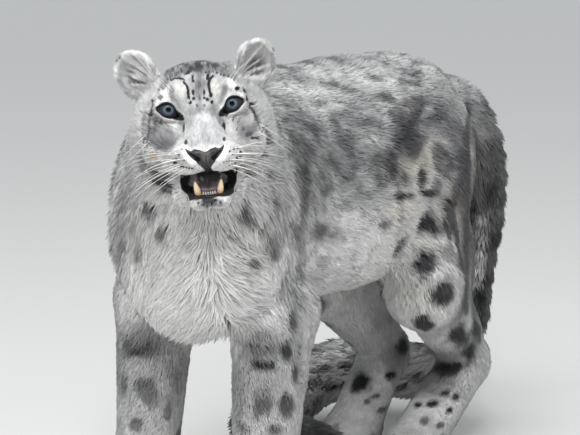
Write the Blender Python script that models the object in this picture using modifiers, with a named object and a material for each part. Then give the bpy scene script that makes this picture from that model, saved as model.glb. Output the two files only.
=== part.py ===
"""Snow leopard: a still, life-size animal standing on four paws, its head turned
to its left and its mouth open, the tail curled round its right hind foot.

The outside of every solid is the outside of the coat.  The body is modelled whole,
from rounded masses that run into each other, and then parted with thin flat cuts
into head, jaw, ears, neck, trunk, legs, feet and lengths of tail.
"""
import math

import bmesh
import bpy
import numpy as np
from mathutils import Matrix, Vector

for old in list(bpy.data.objects):
    bpy.data.objects.remove(old)

GAP = 0.0003            # between two solids that meet
BODY_FACES, HEAD_FACES = 2700, 1750    # triangles of the body and of the head before they are parted
EYE_OPENING = (1.2, 1.2, 0.72)     # half width, depth and height of the slit between the lids, cm
NOSE_OUTLINE = ((-2.05, -4.25), (2.05, -4.25), (1.55, -5.45), (0.45, -6.55), (-0.45, -6.55), (-1.55, -5.45))
CANINE = dict(root=(1.45, 3.35, -9.75), tip=(1.25, 3.0, -7.75), radius=0.50)   # cm, in the head's frame

# ------------------------------------------------------------------ measures
# Metres, +Z up.  While it is modelled, the animal stands over the point midway
# between its shoulders and hips: its left side is +X and it faces -Y.
CHEST_HALF_WIDTH = 0.112
RUMP_HALF_WIDTH = 0.096
SHOULDERS_Y, HIPS_Y = -0.285, 0.215          # where the legs carry the trunk
FORE_SPREAD = (0.083, 0.091)                 # left and right foreleg from the middle
EYES_AT = (0.108, -0.477, 0.567)             # midpoint between the two eyes
EYE_SPACING, EYE_RADIUS = 0.071, 0.014
HEAD_YAW, HEAD_PITCH, HEAD_ROLL = 32.2, 1.5, 5.4   # degrees: to the left, up, left side high
EAR_SIZE = (2.45, 0.95, 3.05)                # half width, thickness and height, cm
TAIL_KEYS = (                                # x, y, z and radius along the tail
    (0.000, 0.327, 0.512, 0.050), (0.010, 0.430, 0.492, 0.046), (0.026, 0.470, 0.425, 0.045), (0.028, 0.474, 0.340, 0.045),
    (0.017, 0.467, 0.250, 0.044), (0.006, 0.465, 0.160, 0.045), (-0.016, 0.463, 0.092, 0.046), (-0.070, 0.452, 0.072, 0.047),
    (-0.136, 0.410, 0.082, 0.048), (-0.178, 0.330, 0.072, 0.049), (-0.184, 0.235, 0.050, 0.049), (-0.158, 0.125, 0.0465, 0.048),
    (-0.095, 0.060, 0.0455, 0.047), (-0.020, 0.045, 0.038, 0.040))


def unit(v):
    v = np.asarray(v, float)
    return v / np.linalg.norm(v)


def turn(ax=0.0, ay=0.0, az=0.0):
    """Rotation by three angles in degrees, about x, then y, then z."""
    (sx, sy, sz), (cx, cy, cz) = np.sin(np.radians((ax, ay, az))), np.cos(np.radians((ax, ay, az)))
    rx = np.array(((1, 0, 0), (0, cx, -sx), (0, sx, cx)))
    ry = np.array(((cy, 0, sy), (0, 1, 0), (-sy, 0, cy)))
    rz = np.array(((cz, -sz, 0), (sz, cz, 0), (0, 0, 1)))
    return rz @ ry @ rx


def head_axes():
    """Columns: the head's left, forward and up."""
    a, b, r = np.radians((HEAD_YAW, HEAD_PITCH, HEAD_ROLL))
    f = np.array((math.sin(a) * math.cos(b), -math.cos(a) * math.cos(b), math.sin(b)))
    left = unit(np.cross((0, 0, 1), f))
    up = np.cross(f, left)
    return np.stack([left * math.cos(r) + up * math.sin(r), f, up * math.cos(r) - left * math.sin(r)], 1)


HEAD = head_axes()


def head_point(x, y, z):
    """A point of the head: centimetres left, forward and up of the midpoint between the eyes."""
    return np.array(EYES_AT) + HEAD @ (np.array((x, y, z)) * 0.01)


# ------------------------------------------------------------------ masses
# The body is a set of rounded masses.  A blob is an ellipsoid, a limb is a
# tapered round bar; each one runs into the rest with a fillet of its own.
class Mass:
    def __init__(self, part, blend, centre=None, radii=None, rot=None, a=None, b=None, ra=0.0, rb=0.0, flat=None):
        self.part, self.blend = part, blend
        self.is_blob = centre is not None
        if self.is_blob:
            self.c, self.r = np.array(centre, float), np.array(radii, float)
            self.rot = np.eye(3) if rot is None else np.asarray(rot, float)
            e = np.sqrt(((self.rot * self.r) ** 2).sum(1))
            self.lo, self.hi = self.c - e, self.c + e
        else:
            self.a, self.b, self.ra, self.rb = np.array(a, float), np.array(b, float), ra, rb
            self.flat = None if flat is None else (unit(flat[0]), flat[1])
            r = max(ra, rb)
            self.lo, self.hi = np.minimum(self.a, self.b) - r, np.maximum(self.a, self.b) + r

    def distance(self, p):
        if self.is_blob:
            q = (p - self.c) @ self.rot
            k0 = np.sqrt(((q / self.r) ** 2).sum(1))
            k1 = np.sqrt(((q / self.r ** 2) ** 2).sum(1))
            return np.maximum(k0 * (k0 - 1) / np.maximum(k1, 1e-9), -self.r.min())
        ab = self.b - self.a
        t = np.clip(((p - self.a) @ ab) / (ab @ ab), 0, 1)
        w = p - (self.a + t[:, None] * ab)
        scale = 1.0
        if self.flat is not None:
            axis, share = self.flat
            w = w + np.outer((w @ axis) * (1 / share - 1), axis)
            scale = 0.5 + 0.5 * share
        return (np.sqrt((w ** 2).sum(1)) - (self.ra + t * (self.rb - self.ra))) * scale

    def hull(self, v):
        """Where this mass puts the points v of a unit sphere."""
        if self.is_blob:
            if np.linalg.det(self.rot) < 0:
                v = v * (-1, 1, 1)
            return (v * self.r) @ self.rot.T + self.c
        z = unit(self.b - self.a)
        x = unit(np.cross((0, 0, 1) if abs(z[2]) < 0.9 else (0, 1, 0), z))
        m = np.stack([x, np.cross(z, x), z], 1)
        top = (v[:, 2] > 1e-6)[:, None]
        w = (v * np.where(top, self.rb, self.ra)) @ m.T
        if self.flat is not None:
            axis, share = self.flat
            w = w - np.outer(w @ axis, axis) * (1 - share)
        return w + np.where(top, self.b, self.a)


def blob(part, centre, radii, rot=None, blend=0.03):
    return Mass(part, blend, centre=centre, radii=radii, rot=rot)


def limb(part, a, b, ra, rb, flat=None, blend=0.03):
    return Mass(part, blend, a=a, b=b, ra=ra, rb=rb, flat=flat)


def head_blob(part, c, r, rot=None, blend=1.2):
    return blob(part, head_point(*c), np.array(r) * 0.01, HEAD if rot is None else HEAD @ rot, blend * 0.01)


def head_limb(part, a, b, ra, rb, flat=None, blend=1.2):
    if flat is not None:
        flat = (HEAD @ unit(flat[0]), flat[1])
    return limb(part, head_point(*a), head_point(*b), ra * 0.01, rb * 0.01, flat, blend * 0.01)


def trunk_masses():
    cw, rw = CHEST_HALF_WIDTH, RUMP_HALF_WIDTH
    out = [
        blob("trunk", (0, -0.11, 0.436), (cw, 0.22, 0.156), blend=0.05),               # rib cage
        blob("trunk", (0, -0.225, 0.485), (0.086, 0.135, 0.110), blend=0.05),          # withers
        blob("trunk", (0.004, -0.31, 0.392), (0.098, 0.108, 0.130), blend=0.05),       # breast
        blob("trunk", (0, 0.06, 0.408), (cw + 0.002, 0.20, 0.140), blend=0.06),        # belly
        blob("trunk", (0, 0.080, 0.468), (0.105, 0.205, 0.128), blend=0.05),           # loin
        blob("trunk", (0, 0.230, 0.452), (rw, 0.140, 0.138), blend=0.05),              # rump
        limb("neck", (0.012, -0.27, 0.475), (0.055, -0.385, 0.515), 0.100, 0.090, blend=0.06),
        blob("neck", (0.058, -0.385, 0.455), (0.092, 0.080, 0.092), blend=0.05),       # throat
        blob("neck", (0.035, -0.345, 0.42), (0.108, 0.088, 0.115), blend=0.05),        # ruff
    ]
    for side in (1, -1):
        out.append(blob("trunk", (side * 0.064, -0.262, 0.43), (0.048, 0.095, 0.118), turn(ax=-14), blend=0.04))
        out.append(blob("trunk", (side * 0.045, HIPS_Y + 0.005, 0.425), (0.050, 0.112, 0.138), turn(ax=12), blend=0.05))
    return out


def paw(part, x, y, half_width, half_length, yaw):
    """A broad paw: its pad and four toes, which the floor flattens."""
    r = turn(az=yaw)
    out = [blob(part, (x, y, 0.030), (half_width * 0.94, half_length, 0.036), r, blend=0.015)]
    for dx, dy, size in ((-0.66, -0.66, 0.88), (-0.24, -0.90, 1.0), (0.24, -0.90, 1.0), (0.66, -0.66, 0.88)):
        d = r @ np.array((dx * half_width, dy * half_length, 0))
        out.append(blob(part, (x + d[0], y + d[1], 0.0205), np.array((0.0150, 0.0250, 0.0235)) * size, r, blend=0.006))
    return out


def leg_masses():
    out = []
    for side, tag in ((1, "left"), (-1, "right")):
        p, x = "foreleg_" + tag, side * FORE_SPREAD[0 if side > 0 else 1]
        y = SHOULDERS_Y - (0.006 if side > 0 else 0.0)
        out += [
            limb(p, (side * 0.056, y - 0.020, 0.385), (x - side * 0.006, y + 0.030, 0.300), 0.050, 0.050, blend=0.035),  # upper arm
            limb(p, (x, y + 0.023, 0.300), (x, y - 0.003, 0.10), 0.052, 0.0395, blend=0.03),                            # forearm
            limb(p, (x, y - 0.003, 0.10), (x + side * 0.002, y - 0.020, 0.045), 0.0395, 0.041, blend=0.02),             # wrist
        ]
        out += paw(p, x + side * 0.002, y - 0.040, 0.049, 0.060, side * 3)
        if side > 0:
            knee, hock, foot, yaw = (0.086, 0.152, 0.272), (0.075, 0.322, 0.136), (0.068, 0.170), -3
        else:
            knee, hock, foot, yaw = (-0.086, 0.160, 0.273), (-0.062, 0.328, 0.136), (-0.052, 0.200), 4
        p, knee, hock = "hindleg_" + tag, np.array(knee), np.array(hock)
        hip = np.array((side * 0.044, HIPS_Y, 0.455))
        ball = (foot[0], foot[1] + 0.026, 0.046)
        out += [
            limb(p, hip + (0, 0.01, -0.03), knee, 0.075, 0.059, ((1, 0, 0), 0.80), blend=0.055),                    # thigh
            limb(p, knee + (0, 0.008, 0), hock + (0, -0.01, 0.008), 0.059, 0.038, ((1, 0, 0), 0.85), blend=0.035),  # shank
            limb(p, hip + (0, 0.040, -0.06), hock + (0, -0.022, 0.050), 0.055, 0.033, ((1, 0, 0), 0.75), blend=0.035),
            blob(p, (hip + knee + hock) / 3 + (side * 0.004, 0.014, 0.0), (0.040, 0.060, 0.070), blend=0.04),       # calf
            blob(p, hock + (0, 0.016, -0.006), (0.031, 0.033, 0.036), blend=0.02),                                 # heel
            limb(p, hock + (0, 0, -0.016), ball, 0.0375, 0.0385, blend=0.02),                                      # instep
        ]
        out += paw(p, foot[0], foot[1], 0.046, 0.058, yaw)
    return out


def spline(keys, per):
    """A Catmull-Rom curve through the keys, with per points a span."""
    k = np.array(keys, float)
    k = np.vstack([2 * k[0] - k[1], k, 2 * k[-1] - k[-2]])
    out = []
    for i in range(1, len(k) - 2):
        a, b, c, d = k[i - 1:i + 3]
        for t in np.arange(per) / per:
            out.append(0.5 * (2 * b + (c - a) * t + (2 * a - 5 * b + 4 * c - d) * t * t + (3 * b - a - 3 * c + d) * t ** 3))
    out.append(k[-2])
    return np.array(out)


def tail_masses():
    line = spline(TAIL_KEYS, 3)
    return [limb("tail", a[:3], b[:3], a[3], b[3], blend=0.006) for a, b in zip(line[:-1], line[1:])]


def ear_turn(side):
    return turn(ay=side * 15, az=-side * 16, ax=-6)


def head_masses():
    h, j = "head", "lower_jaw"
    out = [
        head_blob(h, (0, -6.3, 0.1), (6.3, 6.4, 4.9), blend=2.0),               # braincase
        head_blob(h, (0, -3.1, 1.4), (5.0, 3.5, 3.2), blend=2.0),               # forehead
        head_blob(h, (0, -3.3, -1.9), (6.9, 3.5, 4.0), blend=1.6),              # cheek bones
        head_limb(h, (0, -0.7, -0.1), (0, 4.6, -3.5), 2.15, 1.65, ((1, 0, 0), 0.95), blend=1.6),  # bridge of the nose
        head_blob(h, (0, 1.9, -4.7), (3.5, 3.9, 2.5), blend=1.6),               # muzzle
        head_blob(h, (0, 5.3, -5.0), (1.9, 1.5, 1.3), blend=0.8),               # end of the nose
        head_blob(h, (0, -5.4, -6.8), (6.0, 4.4, 4.4), blend=2.0),              # throat
        head_blob(j, (0, 3.2, -10.0), (2.3, 1.5, 0.95), blend=0.7),             # chin
    ]
    for s, tag in ((1, "left"), (-1, "right")):
        out += [
            head_blob(h, (s * 3.2, -1.0, 1.15), (2.2, 1.3, 1.1), blend=1.2),     # brow
            head_blob(h, (s * 4.5, -1.6, -4.4), (2.5, 3.2, 2.6), blend=1.8),     # cheek
            head_blob(h, (s * 5.3, -5.6, -3.2), (3.1, 3.2, 5.0), blend=1.8),     # whiskered side of the head
            head_blob(h, (s * 2.1, 4.05, -5.35), (2.2, 2.25, 1.75), blend=0.9),  # whisker pad
            head_limb(j, (s * 3.9, -4.8, -6.8), (s * 2.6, 0.0, -9.5), 2.3, 1.25, blend=1.2),
            head_limb(j, (s * 2.6, 0.0, -9.5), (s * 1.2, 3.1, -10.0), 1.25, 0.95, blend=1.0),
            head_blob("ear_" + tag, (s * 6.55, -5.0, 3.75), EAR_SIZE, rot=ear_turn(s), blend=0.8),
        ]
    return out


def ear_hollows():
    out = []
    for s in (1, -1):
        r = ear_turn(s)
        out.append(head_blob("ear", np.array((s * 6.55, -5.0, 3.75)) + r @ np.array((0, 1.15, 0.15)), (1.85, 1.25, 2.4), rot=r, blend=0.4))
    return out


MASSES = trunk_masses() + leg_masses() + tail_masses() + head_masses()
HOLLOWS = ear_hollows()


def smooth_min(a, b, k):
    h = np.maximum(k - np.abs(a - b), 0) / k
    return np.minimum(a, b) - h * h * k * 0.25


def field(p, masses=None, hollows=None, reach=0.12, floor=-0.006):
    """About the signed distance from the outside of the coat, negative inside."""
    p = np.asarray(p, float)
    out = np.full(len(p), reach)
    for m in (MASSES if masses is None else masses):
        near = np.nonzero(((p > m.lo - reach) & (p < m.hi + reach)).all(1))[0]
        if len(near):
            out[near] = smooth_min(out[near], m.distance(p[near]), m.blend)
    for m in (HOLLOWS if hollows is None else hollows):
        near = np.nonzero(((p > m.lo - 0.02) & (p < m.hi + 0.02)).all(1))[0]
        if len(near):
            out[near] = -smooth_min(-out[near], m.distance(p[near]), m.blend)
    return np.maximum(out, floor - p[:, 2])


def slope(p, f, h=0.0006):
    """The unit gradient of f at p, and its size."""
    g = np.empty_like(p)
    for i in range(3):
        e = np.zeros(3)
        e[i] = h
        g[:, i] = (f(p + e) - f(p - e)) / (2 * h)
    n = np.linalg.norm(g, axis=1)
    return g / np.maximum(n, 1e-9)[:, None], n


def settle(mesh, f, rounds=2, cap=0.01):
    """Moves a mesh's points onto the surface where f is 0."""
    p = np.empty(len(mesh.vertices) * 3, np.float32)
    mesh.vertices.foreach_get("co", p)
    p = p.reshape(-1, 3).astype(float)
    for _ in range(rounds):
        g, n = slope(p, f)
        p -= g * np.clip(f(p) / np.maximum(n, 0.3), -cap, cap)[:, None]
    mesh.vertices.foreach_set("co", p.ravel().astype(np.float32))
    mesh.update()


def evaluated(obj):
    """The object's mesh with its modifiers applied, the object removed."""
    mesh = bpy.data.meshes.new_from_object(obj.evaluated_get(bpy.context.evaluated_depsgraph_get()))
    bpy.data.objects.remove(obj)
    return mesh


def voxel_skin(mesh, size):
    obj = bpy.data.objects.new("skin_work", mesh)
    bpy.context.scene.collection.objects.link(obj)
    mod = obj.modifiers.new("Remesh", "REMESH")
    mod.mode, mod.voxel_size = "VOXEL", size
    return evaluated(obj)


def mass_skin(masses, rough, fine, f=None):
    """One closed skin over the masses: round pieces joined by voxels, then moved onto the blended surface."""
    bm = bmesh.new()
    bmesh.ops.create_uvsphere(bm, u_segments=20, v_segments=12, radius=1)
    ball = bpy.data.meshes.new("ball")
    bm.to_mesh(ball)
    count = len(bm.verts)
    v = np.array([x.co[:] for x in bm.verts])
    bm.clear()
    for m in masses:
        bm.from_mesh(ball)
        bm.verts.ensure_lookup_table()
        for vert, co in zip(bm.verts[-count:], m.hull(v)):
            vert.co = co
    mesh = bpy.data.meshes.new("masses")
    bm.to_mesh(mesh)
    bm.free()
    f = f or (lambda p: field(p, masses=masses))
    mesh = voxel_skin(mesh, rough)
    settle(mesh, f, 2, 0.02)
    mesh = voxel_skin(mesh, fine)
    settle(mesh, f, 2)
    return mesh


# ------------------------------------------------------------------ scene
def collection(name):
    c = bpy.data.collections.new(name)
    bpy.context.scene.collection.children.link(c)
    return c


PARTS, CUTTERS = collection("snow_leopard"), collection("cutters")


def material(name, colour, roughness, metallic=0.0):
    m = bpy.data.materials.new(name)
    m.use_nodes = True
    s = m.node_tree.nodes["Principled BSDF"]
    s.inputs["Base Color"].default_value = (*colour, 1)
    s.inputs["Roughness"].default_value = roughness
    s.inputs["Metallic"].default_value = metallic
    m.diffuse_color = (*colour, 1)
    return m


COAT = material("coat", (0.46, 0.45, 0.44), 0.85)
PALE = material("pale_coat", (0.62, 0.61, 0.58), 0.85)
LEATHER = material("nose_leather", (0.055, 0.050, 0.052), 0.45)
EYE = material("eye", (0.26, 0.34, 0.42), 0.08)
FLESH = material("tongue", (0.30, 0.16, 0.16), 0.45)


def add(name, mesh, mat, where=None):
    obj = bpy.data.objects.new(name, mesh)
    mesh.name = name
    mesh.materials.clear()
    mesh.materials.append(mat)
    (where or PARTS).objects.link(obj)
    return obj


def boolean(mesh, other, operation):
    """mesh after a Boolean with the mesh other."""
    a = bpy.data.objects.new("a", mesh)
    b = bpy.data.objects.new("b", other)
    for o in (a, b):
        CUTTERS.objects.link(o)
    mod = a.modifiers.new("Boolean", "BOOLEAN")
    mod.operation, mod.solver, mod.object = operation, "EXACT", b
    out = evaluated(a)
    bpy.data.objects.remove(b)
    return out


def region(planes, grow=0.0, size=1.5):
    """The convex space inside planes, each a point and a normal pointing out of it, cut from a large cube."""
    bm = bmesh.new()
    bmesh.ops.create_cube(bm, size=size * 2, matrix=Matrix.Translation((0, 0, 0.3)))
    for point, normal in planes:
        n = Vector(unit(normal))
        bmesh.ops.bisect_plane(bm, geom=bm.verts[:] + bm.edges[:] + bm.faces[:], plane_co=Vector(point) + n * grow, plane_no=n, clear_outer=True)
        edges = [e for e in bm.edges if e.is_boundary]
        if edges:
            bmesh.ops.holes_fill(bm, edges=edges, sides=0)
    bmesh.ops.recalc_face_normals(bm, faces=bm.faces[:])
    mesh = bpy.data.meshes.new("region")
    bm.to_mesh(mesh)
    bm.free()
    return mesh


def loose_parts(mesh):
    bm = bmesh.new()
    bm.from_mesh(mesh)
    seen, sizes = set(), []
    for f in bm.faces:
        if f in seen:
            continue
        stack, group = [f], []
        seen.add(f)
        while stack:
            g = stack.pop()
            group.append(g)
            for e in g.edges:
                for k in e.link_faces:
                    if k not in seen:
                        seen.add(k)
                        stack.append(k)
        sizes.append(group)
    return bm, sizes


def largest(mesh, name):
    """The largest connected body of a mesh, without crumbs that a cut leaves."""
    bm, groups = loose_parts(mesh)
    groups.sort(key=len)
    crumbs = [f for g in groups[:-1] for f in g]
    if crumbs:
        print("crumbs", name, [(len(g), [round(c, 3) for c in g[0].calc_center_median()]) for g in groups])
        bmesh.ops.delete(bm, geom=crumbs, context="FACES")
        loose = [v for v in bm.verts if not v.link_faces]
        bmesh.ops.delete(bm, geom=loose, context="VERTS")
    out = bpy.data.meshes.new(name)
    bm.to_mesh(out)
    bm.free()
    return out


def tidy(mesh, short=0.00025):
    """Merges points closer than short and triangulates."""
    bm = bmesh.new()
    bm.from_mesh(mesh)
    bmesh.ops.remove_doubles(bm, verts=bm.verts[:], dist=short)
    bmesh.ops.dissolve_degenerate(bm, edges=bm.edges[:], dist=short * 0.5)
    bmesh.ops.triangulate(bm, faces=bm.faces[:])
    if bm.verts.layers.deform.active is not None:
        bm.verts.layers.deform.remove(bm.verts.layers.deform.active)
    bm.to_mesh(mesh)
    bm.free()
    return mesh


def part_off(body, planes, name):
    """(the piece of body inside planes, the rest with a thin gap)."""
    piece = boolean(body.copy(), region(planes), "INTERSECT")
    rest = boolean(body, region(planes, GAP), "DIFFERENCE")
    return largest(piece, name), rest


def hp(x, y, z):
    return tuple(head_point(x, y, z))


def hn(x, y, z):
    return tuple(HEAD @ np.array((x, y, z), float))


def head_box(x0, x1, y0, y1, z0, z1):
    """Planes of a box in the head's frame, cm."""
    return [(hp(x0, 0, 0), hn(-1, 0, 0)), (hp(x1, 0, 0), hn(1, 0, 0)), (hp(0, y0, 0), hn(0, -1, 0)),
            (hp(0, y1, 0), hn(0, 1, 0)), (hp(0, 0, z0), hn(0, 0, -1)), (hp(0, 0, z1), hn(0, 0, 1))]


def box(x0, x1, y0, y1, z0, z1):
    return [((x0, 0, 0), (-1, 0, 0)), ((x1, 0, 0), (1, 0, 0)), ((0, y0, 0), (0, -1, 0)),
            ((0, y1, 0), (0, 1, 0)), ((0, 0, z0), (0, 0, -1)), ((0, 0, z1), (0, 0, 1))]


def round_mesh(mass, seg=16, rings=10, grow=0.0):
    """A sphere primitive in the shape of a mass, larger by grow all round."""
    bm = bmesh.new()
    bmesh.ops.create_uvsphere(bm, u_segments=seg, v_segments=rings, radius=1)
    v = np.array([x.co[:] for x in bm.verts])
    r = mass.r.copy()
    mass.r = r + grow
    for vert, co in zip(bm.verts, mass.hull(v)):
        vert.co = co
    mass.r = r
    mesh = bpy.data.meshes.new("round")
    bm.to_mesh(mesh)
    bm.free()
    return mesh


def tooth(root, tip, radius, sides=8):
    """A pointed, slightly leaning tooth: a cone primitive between two points of the head, cm."""
    a, b = head_point(*root), head_point(*tip)
    bm = bmesh.new()
    axis = Vector(b - a)
    m = Matrix.Translation(Vector((a + b) / 2)) @ axis.to_track_quat("Z", "Y").to_matrix().to_4x4()
    bmesh.ops.create_cone(bm, cap_ends=True, segments=sides, radius1=radius * 0.01, radius2=radius * 0.0016, depth=axis.length, matrix=m)
    mesh = bpy.data.meshes.new("tooth")
    bm.to_mesh(mesh)
    bm.free()
    return mesh


# ------------------------------------------------------------------ the whole body
body = mass_skin(MASSES, 0.008, 0.0045, field)
head_middle = head_point(0, -2.5, -2.5)


def thin_out(mesh, in_head, target):
    """Collapses the mesh, in the head or outside it only, until that share has target triangles."""
    v = np.array([x.co[:] for x in mesh.vertices])
    near = np.linalg.norm(v - head_middle, axis=1) < 0.125
    mesh.calc_loop_triangles()
    tris = np.array([t.vertices[:] for t in mesh.loop_triangles])
    free = (near if in_head else ~near)[tris].any(1).sum()
    obj = bpy.data.objects.new("body_work", mesh)
    CUTTERS.objects.link(obj)
    obj.vertex_groups.clear()
    group = obj.vertex_groups.new(name="free")
    group.add([int(i) for i in np.nonzero(near if in_head else ~near)[0]], 1.0, "REPLACE")
    mod = obj.modifiers.new("Decimate", "DECIMATE")
    mod.vertex_group, mod.vertex_group_factor = group.name, 1.0
    mod.ratio = (len(tris) - free + target) / len(tris)
    return evaluated(obj)


body = thin_out(body, False, BODY_FACES)
body = thin_out(body, True, HEAD_FACES)
# flat soles, at one level
body = boolean(body, region(box(-1, 1, -1, 1, -0.5, 0.0)), "DIFFERENCE")

# openings: between the lids, round the eyeballs, and the mouth
EYES = {"left": blob("eye", head_point(EYE_SPACING * 50, -1.25, 0), (EYE_RADIUS,) * 3, HEAD),
        "right": blob("eye", head_point(-EYE_SPACING * 50, -1.25, 0), (EYE_RADIUS,) * 3, HEAD)}
for side, s in (("left", 1), ("right", -1)):
    slit = head_blob("slit", (s * 3.6, -0.15, 0.0), EYE_OPENING, rot=turn(ay=s * -8))
    body = boolean(body, round_mesh(slit, 16, 8), "DIFFERENCE")
    body = boolean(body, round_mesh(EYES[side], 16, 10, GAP), "DIFFERENCE")
mouth = head_blob("mouth", (0, 1.6, -8.1), (2.7, 5.0, 1.05), rot=turn(ax=-3))
body = boolean(body, round_mesh(mouth, 14, 8), "DIFFERENCE")
tongue = head_blob("tongue", (0, 0.5, -9.1), (1.5, 2.9, 0.55), rot=turn(ax=-3))
body = boolean(body, round_mesh(tongue, 12, 8, GAP), "DIFFERENCE")

# ------------------------------------------------------------------ parting
pieces = {}

for side, s in (("left", 1), ("right", -1)):
    base = [(hp(s * 4.15, 0, 4.75), hn(-s * 0.72, 0, -0.69)), (hp(0, -8.2, 0), hn(0, -1, 0)), (hp(0, -1.6, 0), hn(0, 1, 0)),
            (hp(s * 3.6, 0, 0), hn(-s, 0, 0)), (hp(s * 12, 0, 0), hn(s, 0, 0)), (hp(0, 0, 10), hn(0, 0, 1)), (hp(0, 0, -3), hn(0, 0, -1))]
    pieces["ear_" + side], body = part_off(body, base, "ear_" + side)

pieces["lower_jaw"], body = part_off(body, head_box(-5, 5, -1.2, 8, -13, -8.2), "lower_jaw")
nose = [(hp(0, 5.3, 0), hn(0, -1, 0)), (hp(0, 9, 0), hn(0, 1, 0))]
for (xa, za), (xb, zb) in zip(NOSE_OUTLINE, NOSE_OUTLINE[1:] + NOSE_OUTLINE[:1]):
    nose.append((hp(xa, 0, za), hn(-(zb - za), 0, xb - xa)))
pieces["nose"], body = part_off(body, nose, "nose")
pieces["head"], body = part_off(body, [(hp(0, -9.2, 4), hn(0, -15.5, -5.6)), (hp(0, 0, -13.5), hn(0, 0, -1))], "head")
pieces["neck"], body = part_off(body, [((0, -0.25, 0.62), (0, 0.797, -0.604)), ((0, 0, 0.30), (0, 0, -1))], "neck")

tail_line = spline(TAIL_KEYS, 8)
tail_cuts = [int(round(k * 8)) for k in (1.35, 4.1, 7.2, 9.2, 11.3)]


# flat bounds that keep the feet out of the lengths of tail
BESIDE_FEET = {3: [((-0.08, 0.3904, 0), (0.853, -0.522, 0))], 4: [((-0.118, 0.25, 0), (0.125, 0.023, 0))],
               5: [((-0.086, 0.1342, 0), (0.51, 0.86, 0)), ((0.0235, 0, 0), (1, 0, 0))]}


def tail_region(first, last, number):
    """The length of tail between two points of its line."""
    pts = tail_line[first:(last if last is not None else len(tail_line) - 1) + 1]
    lo, hi = (pts[:, :3] - pts[:, 3:] * 1.25).min(0), (pts[:, :3] + pts[:, 3:] * 1.25).max(0)
    planes = box(lo[0], hi[0], lo[1], hi[1], min(lo[2], -0.01), hi[2])
    for i, sign in ((first, -1), (last, 1)):
        if i is not None:
            d = tail_line[min(i + 1, len(tail_line) - 1), :3] - tail_line[i - 1, :3]
            planes.append((tail_line[i, :3], d * sign))
    return planes + BESIDE_FEET.get(number, [])


for k in range(len(tail_cuts) - 1, 0, -1):
    name = "tail_%d" % (k + 1)
    pieces[name], body = part_off(body, tail_region(tail_cuts[k], None if k == len(tail_cuts) - 1 else tail_cuts[k + 1], k + 1), name)
pieces["tail_1"], body = part_off(body, [((0, 0.392, 0), (0, -1, 0)), ((0, 0, 0.20), (0, 0, -1)), ((0.095, 0, 0), (1, 0, 0)), ((-0.06, 0, 0), (-1, 0, 0))], "tail_1")

for side, s in (("left", 1), ("right", -1)):
    fore = [((s * 0.035, 0, 0.262), (-s * 0.62, 0, 0.784)), ((s * 0.005, 0, 0), (-s, 0, 0)), ((0, -0.14, 0), (0, 1, 0)), ((0, -0.46, 0), (0, -1, 0))]
    leg, body = part_off(body, fore, "foreleg_" + side)
    pieces["forepaw_" + side], leg = part_off(leg, [((0, SHOULDERS_Y, 0.076), (0, -0.12, 1))], "forepaw_" + side)
    pieces["foreleg_" + side] = leg
    hind = [((s * 0.045, 0, 0.285), (-s * 0.918, 0, 0.396)), ((s * 0.004, 0, 0), (-s, 0, 0)), ((0, 0.062, 0.30), (0, -1, 0.45))]
    leg, body = part_off(body, hind, "hindleg_" + side)
    pieces["hindfoot_" + side], leg = part_off(leg, [((0, 0.25, 0.128), (0, 0.317, 1))], "hindfoot_" + side)
    pieces["hindleg_" + side] = leg
pieces["trunk"] = body

# teeth stand in the lower jaw
jaw = pieces["lower_jaw"]
for s in (1, -1):
    root, tip = CANINE["root"], CANINE["tip"]
    jaw = boolean(jaw, tooth((s * root[0], *root[1:]), (s * tip[0], *tip[1:]), CANINE["radius"]), "UNION")
incisors = head_blob("teeth", (0, 3.75, -9.25), (0.95, 0.20, 0.30))
pieces["lower_jaw"] = boolean(jaw, round_mesh(incisors, 12, 6), "UNION")

for side in EYES:
    pieces["eye_" + side] = round_mesh(EYES[side], 16, 10)
pieces["tongue"] = round_mesh(tongue, 12, 8)

finish = {"nose": LEATHER, "eye_left": EYE, "eye_right": EYE, "tongue": FLESH}
total = 0
lo, hi = np.full(3, 9.0), np.full(3, -9.0)
for name, mesh in pieces.items():
    mesh = tidy(largest(mesh, name))
    obj = add(name, mesh, finish.get(name, PALE if name in ("lower_jaw", "ear_left", "ear_right") else COAT))
    mesh.shade_smooth()
    mesh.set_sharp_from_angle(angle=math.radians(30))
    v = np.array([x.co[:] for x in mesh.vertices])
    lo, hi = np.minimum(lo, v.min(0)), np.maximum(hi, v.max(0))
    total += len(mesh.polygons)
    print(name, len(mesh.polygons))

# the origin: under the middle of the whole, on the floor
shift = Matrix.Translation((-(lo[0] + hi[0]) / 2, -(lo[1] + hi[1]) / 2, -lo[2]))
for obj in PARTS.objects:
    obj.data.transform(shift)
print("triangles", total, "size", hi - lo, "shift", shift.translation)
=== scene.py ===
"""Snow leopard, life size: one skin with lids, lips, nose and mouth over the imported
solids, and over the skin a coat of solid tufts that follow the lie of the fur.

Everything is built in the body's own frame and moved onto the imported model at
the end.  Marks are placed where the animal's rosettes and face lines lie.
"""
import math

import bmesh
import bpy
import numpy as np
from mathutils import Matrix, Vector
from mathutils.bvhtree import BVHTree
from mathutils.kdtree import KDTree


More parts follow.
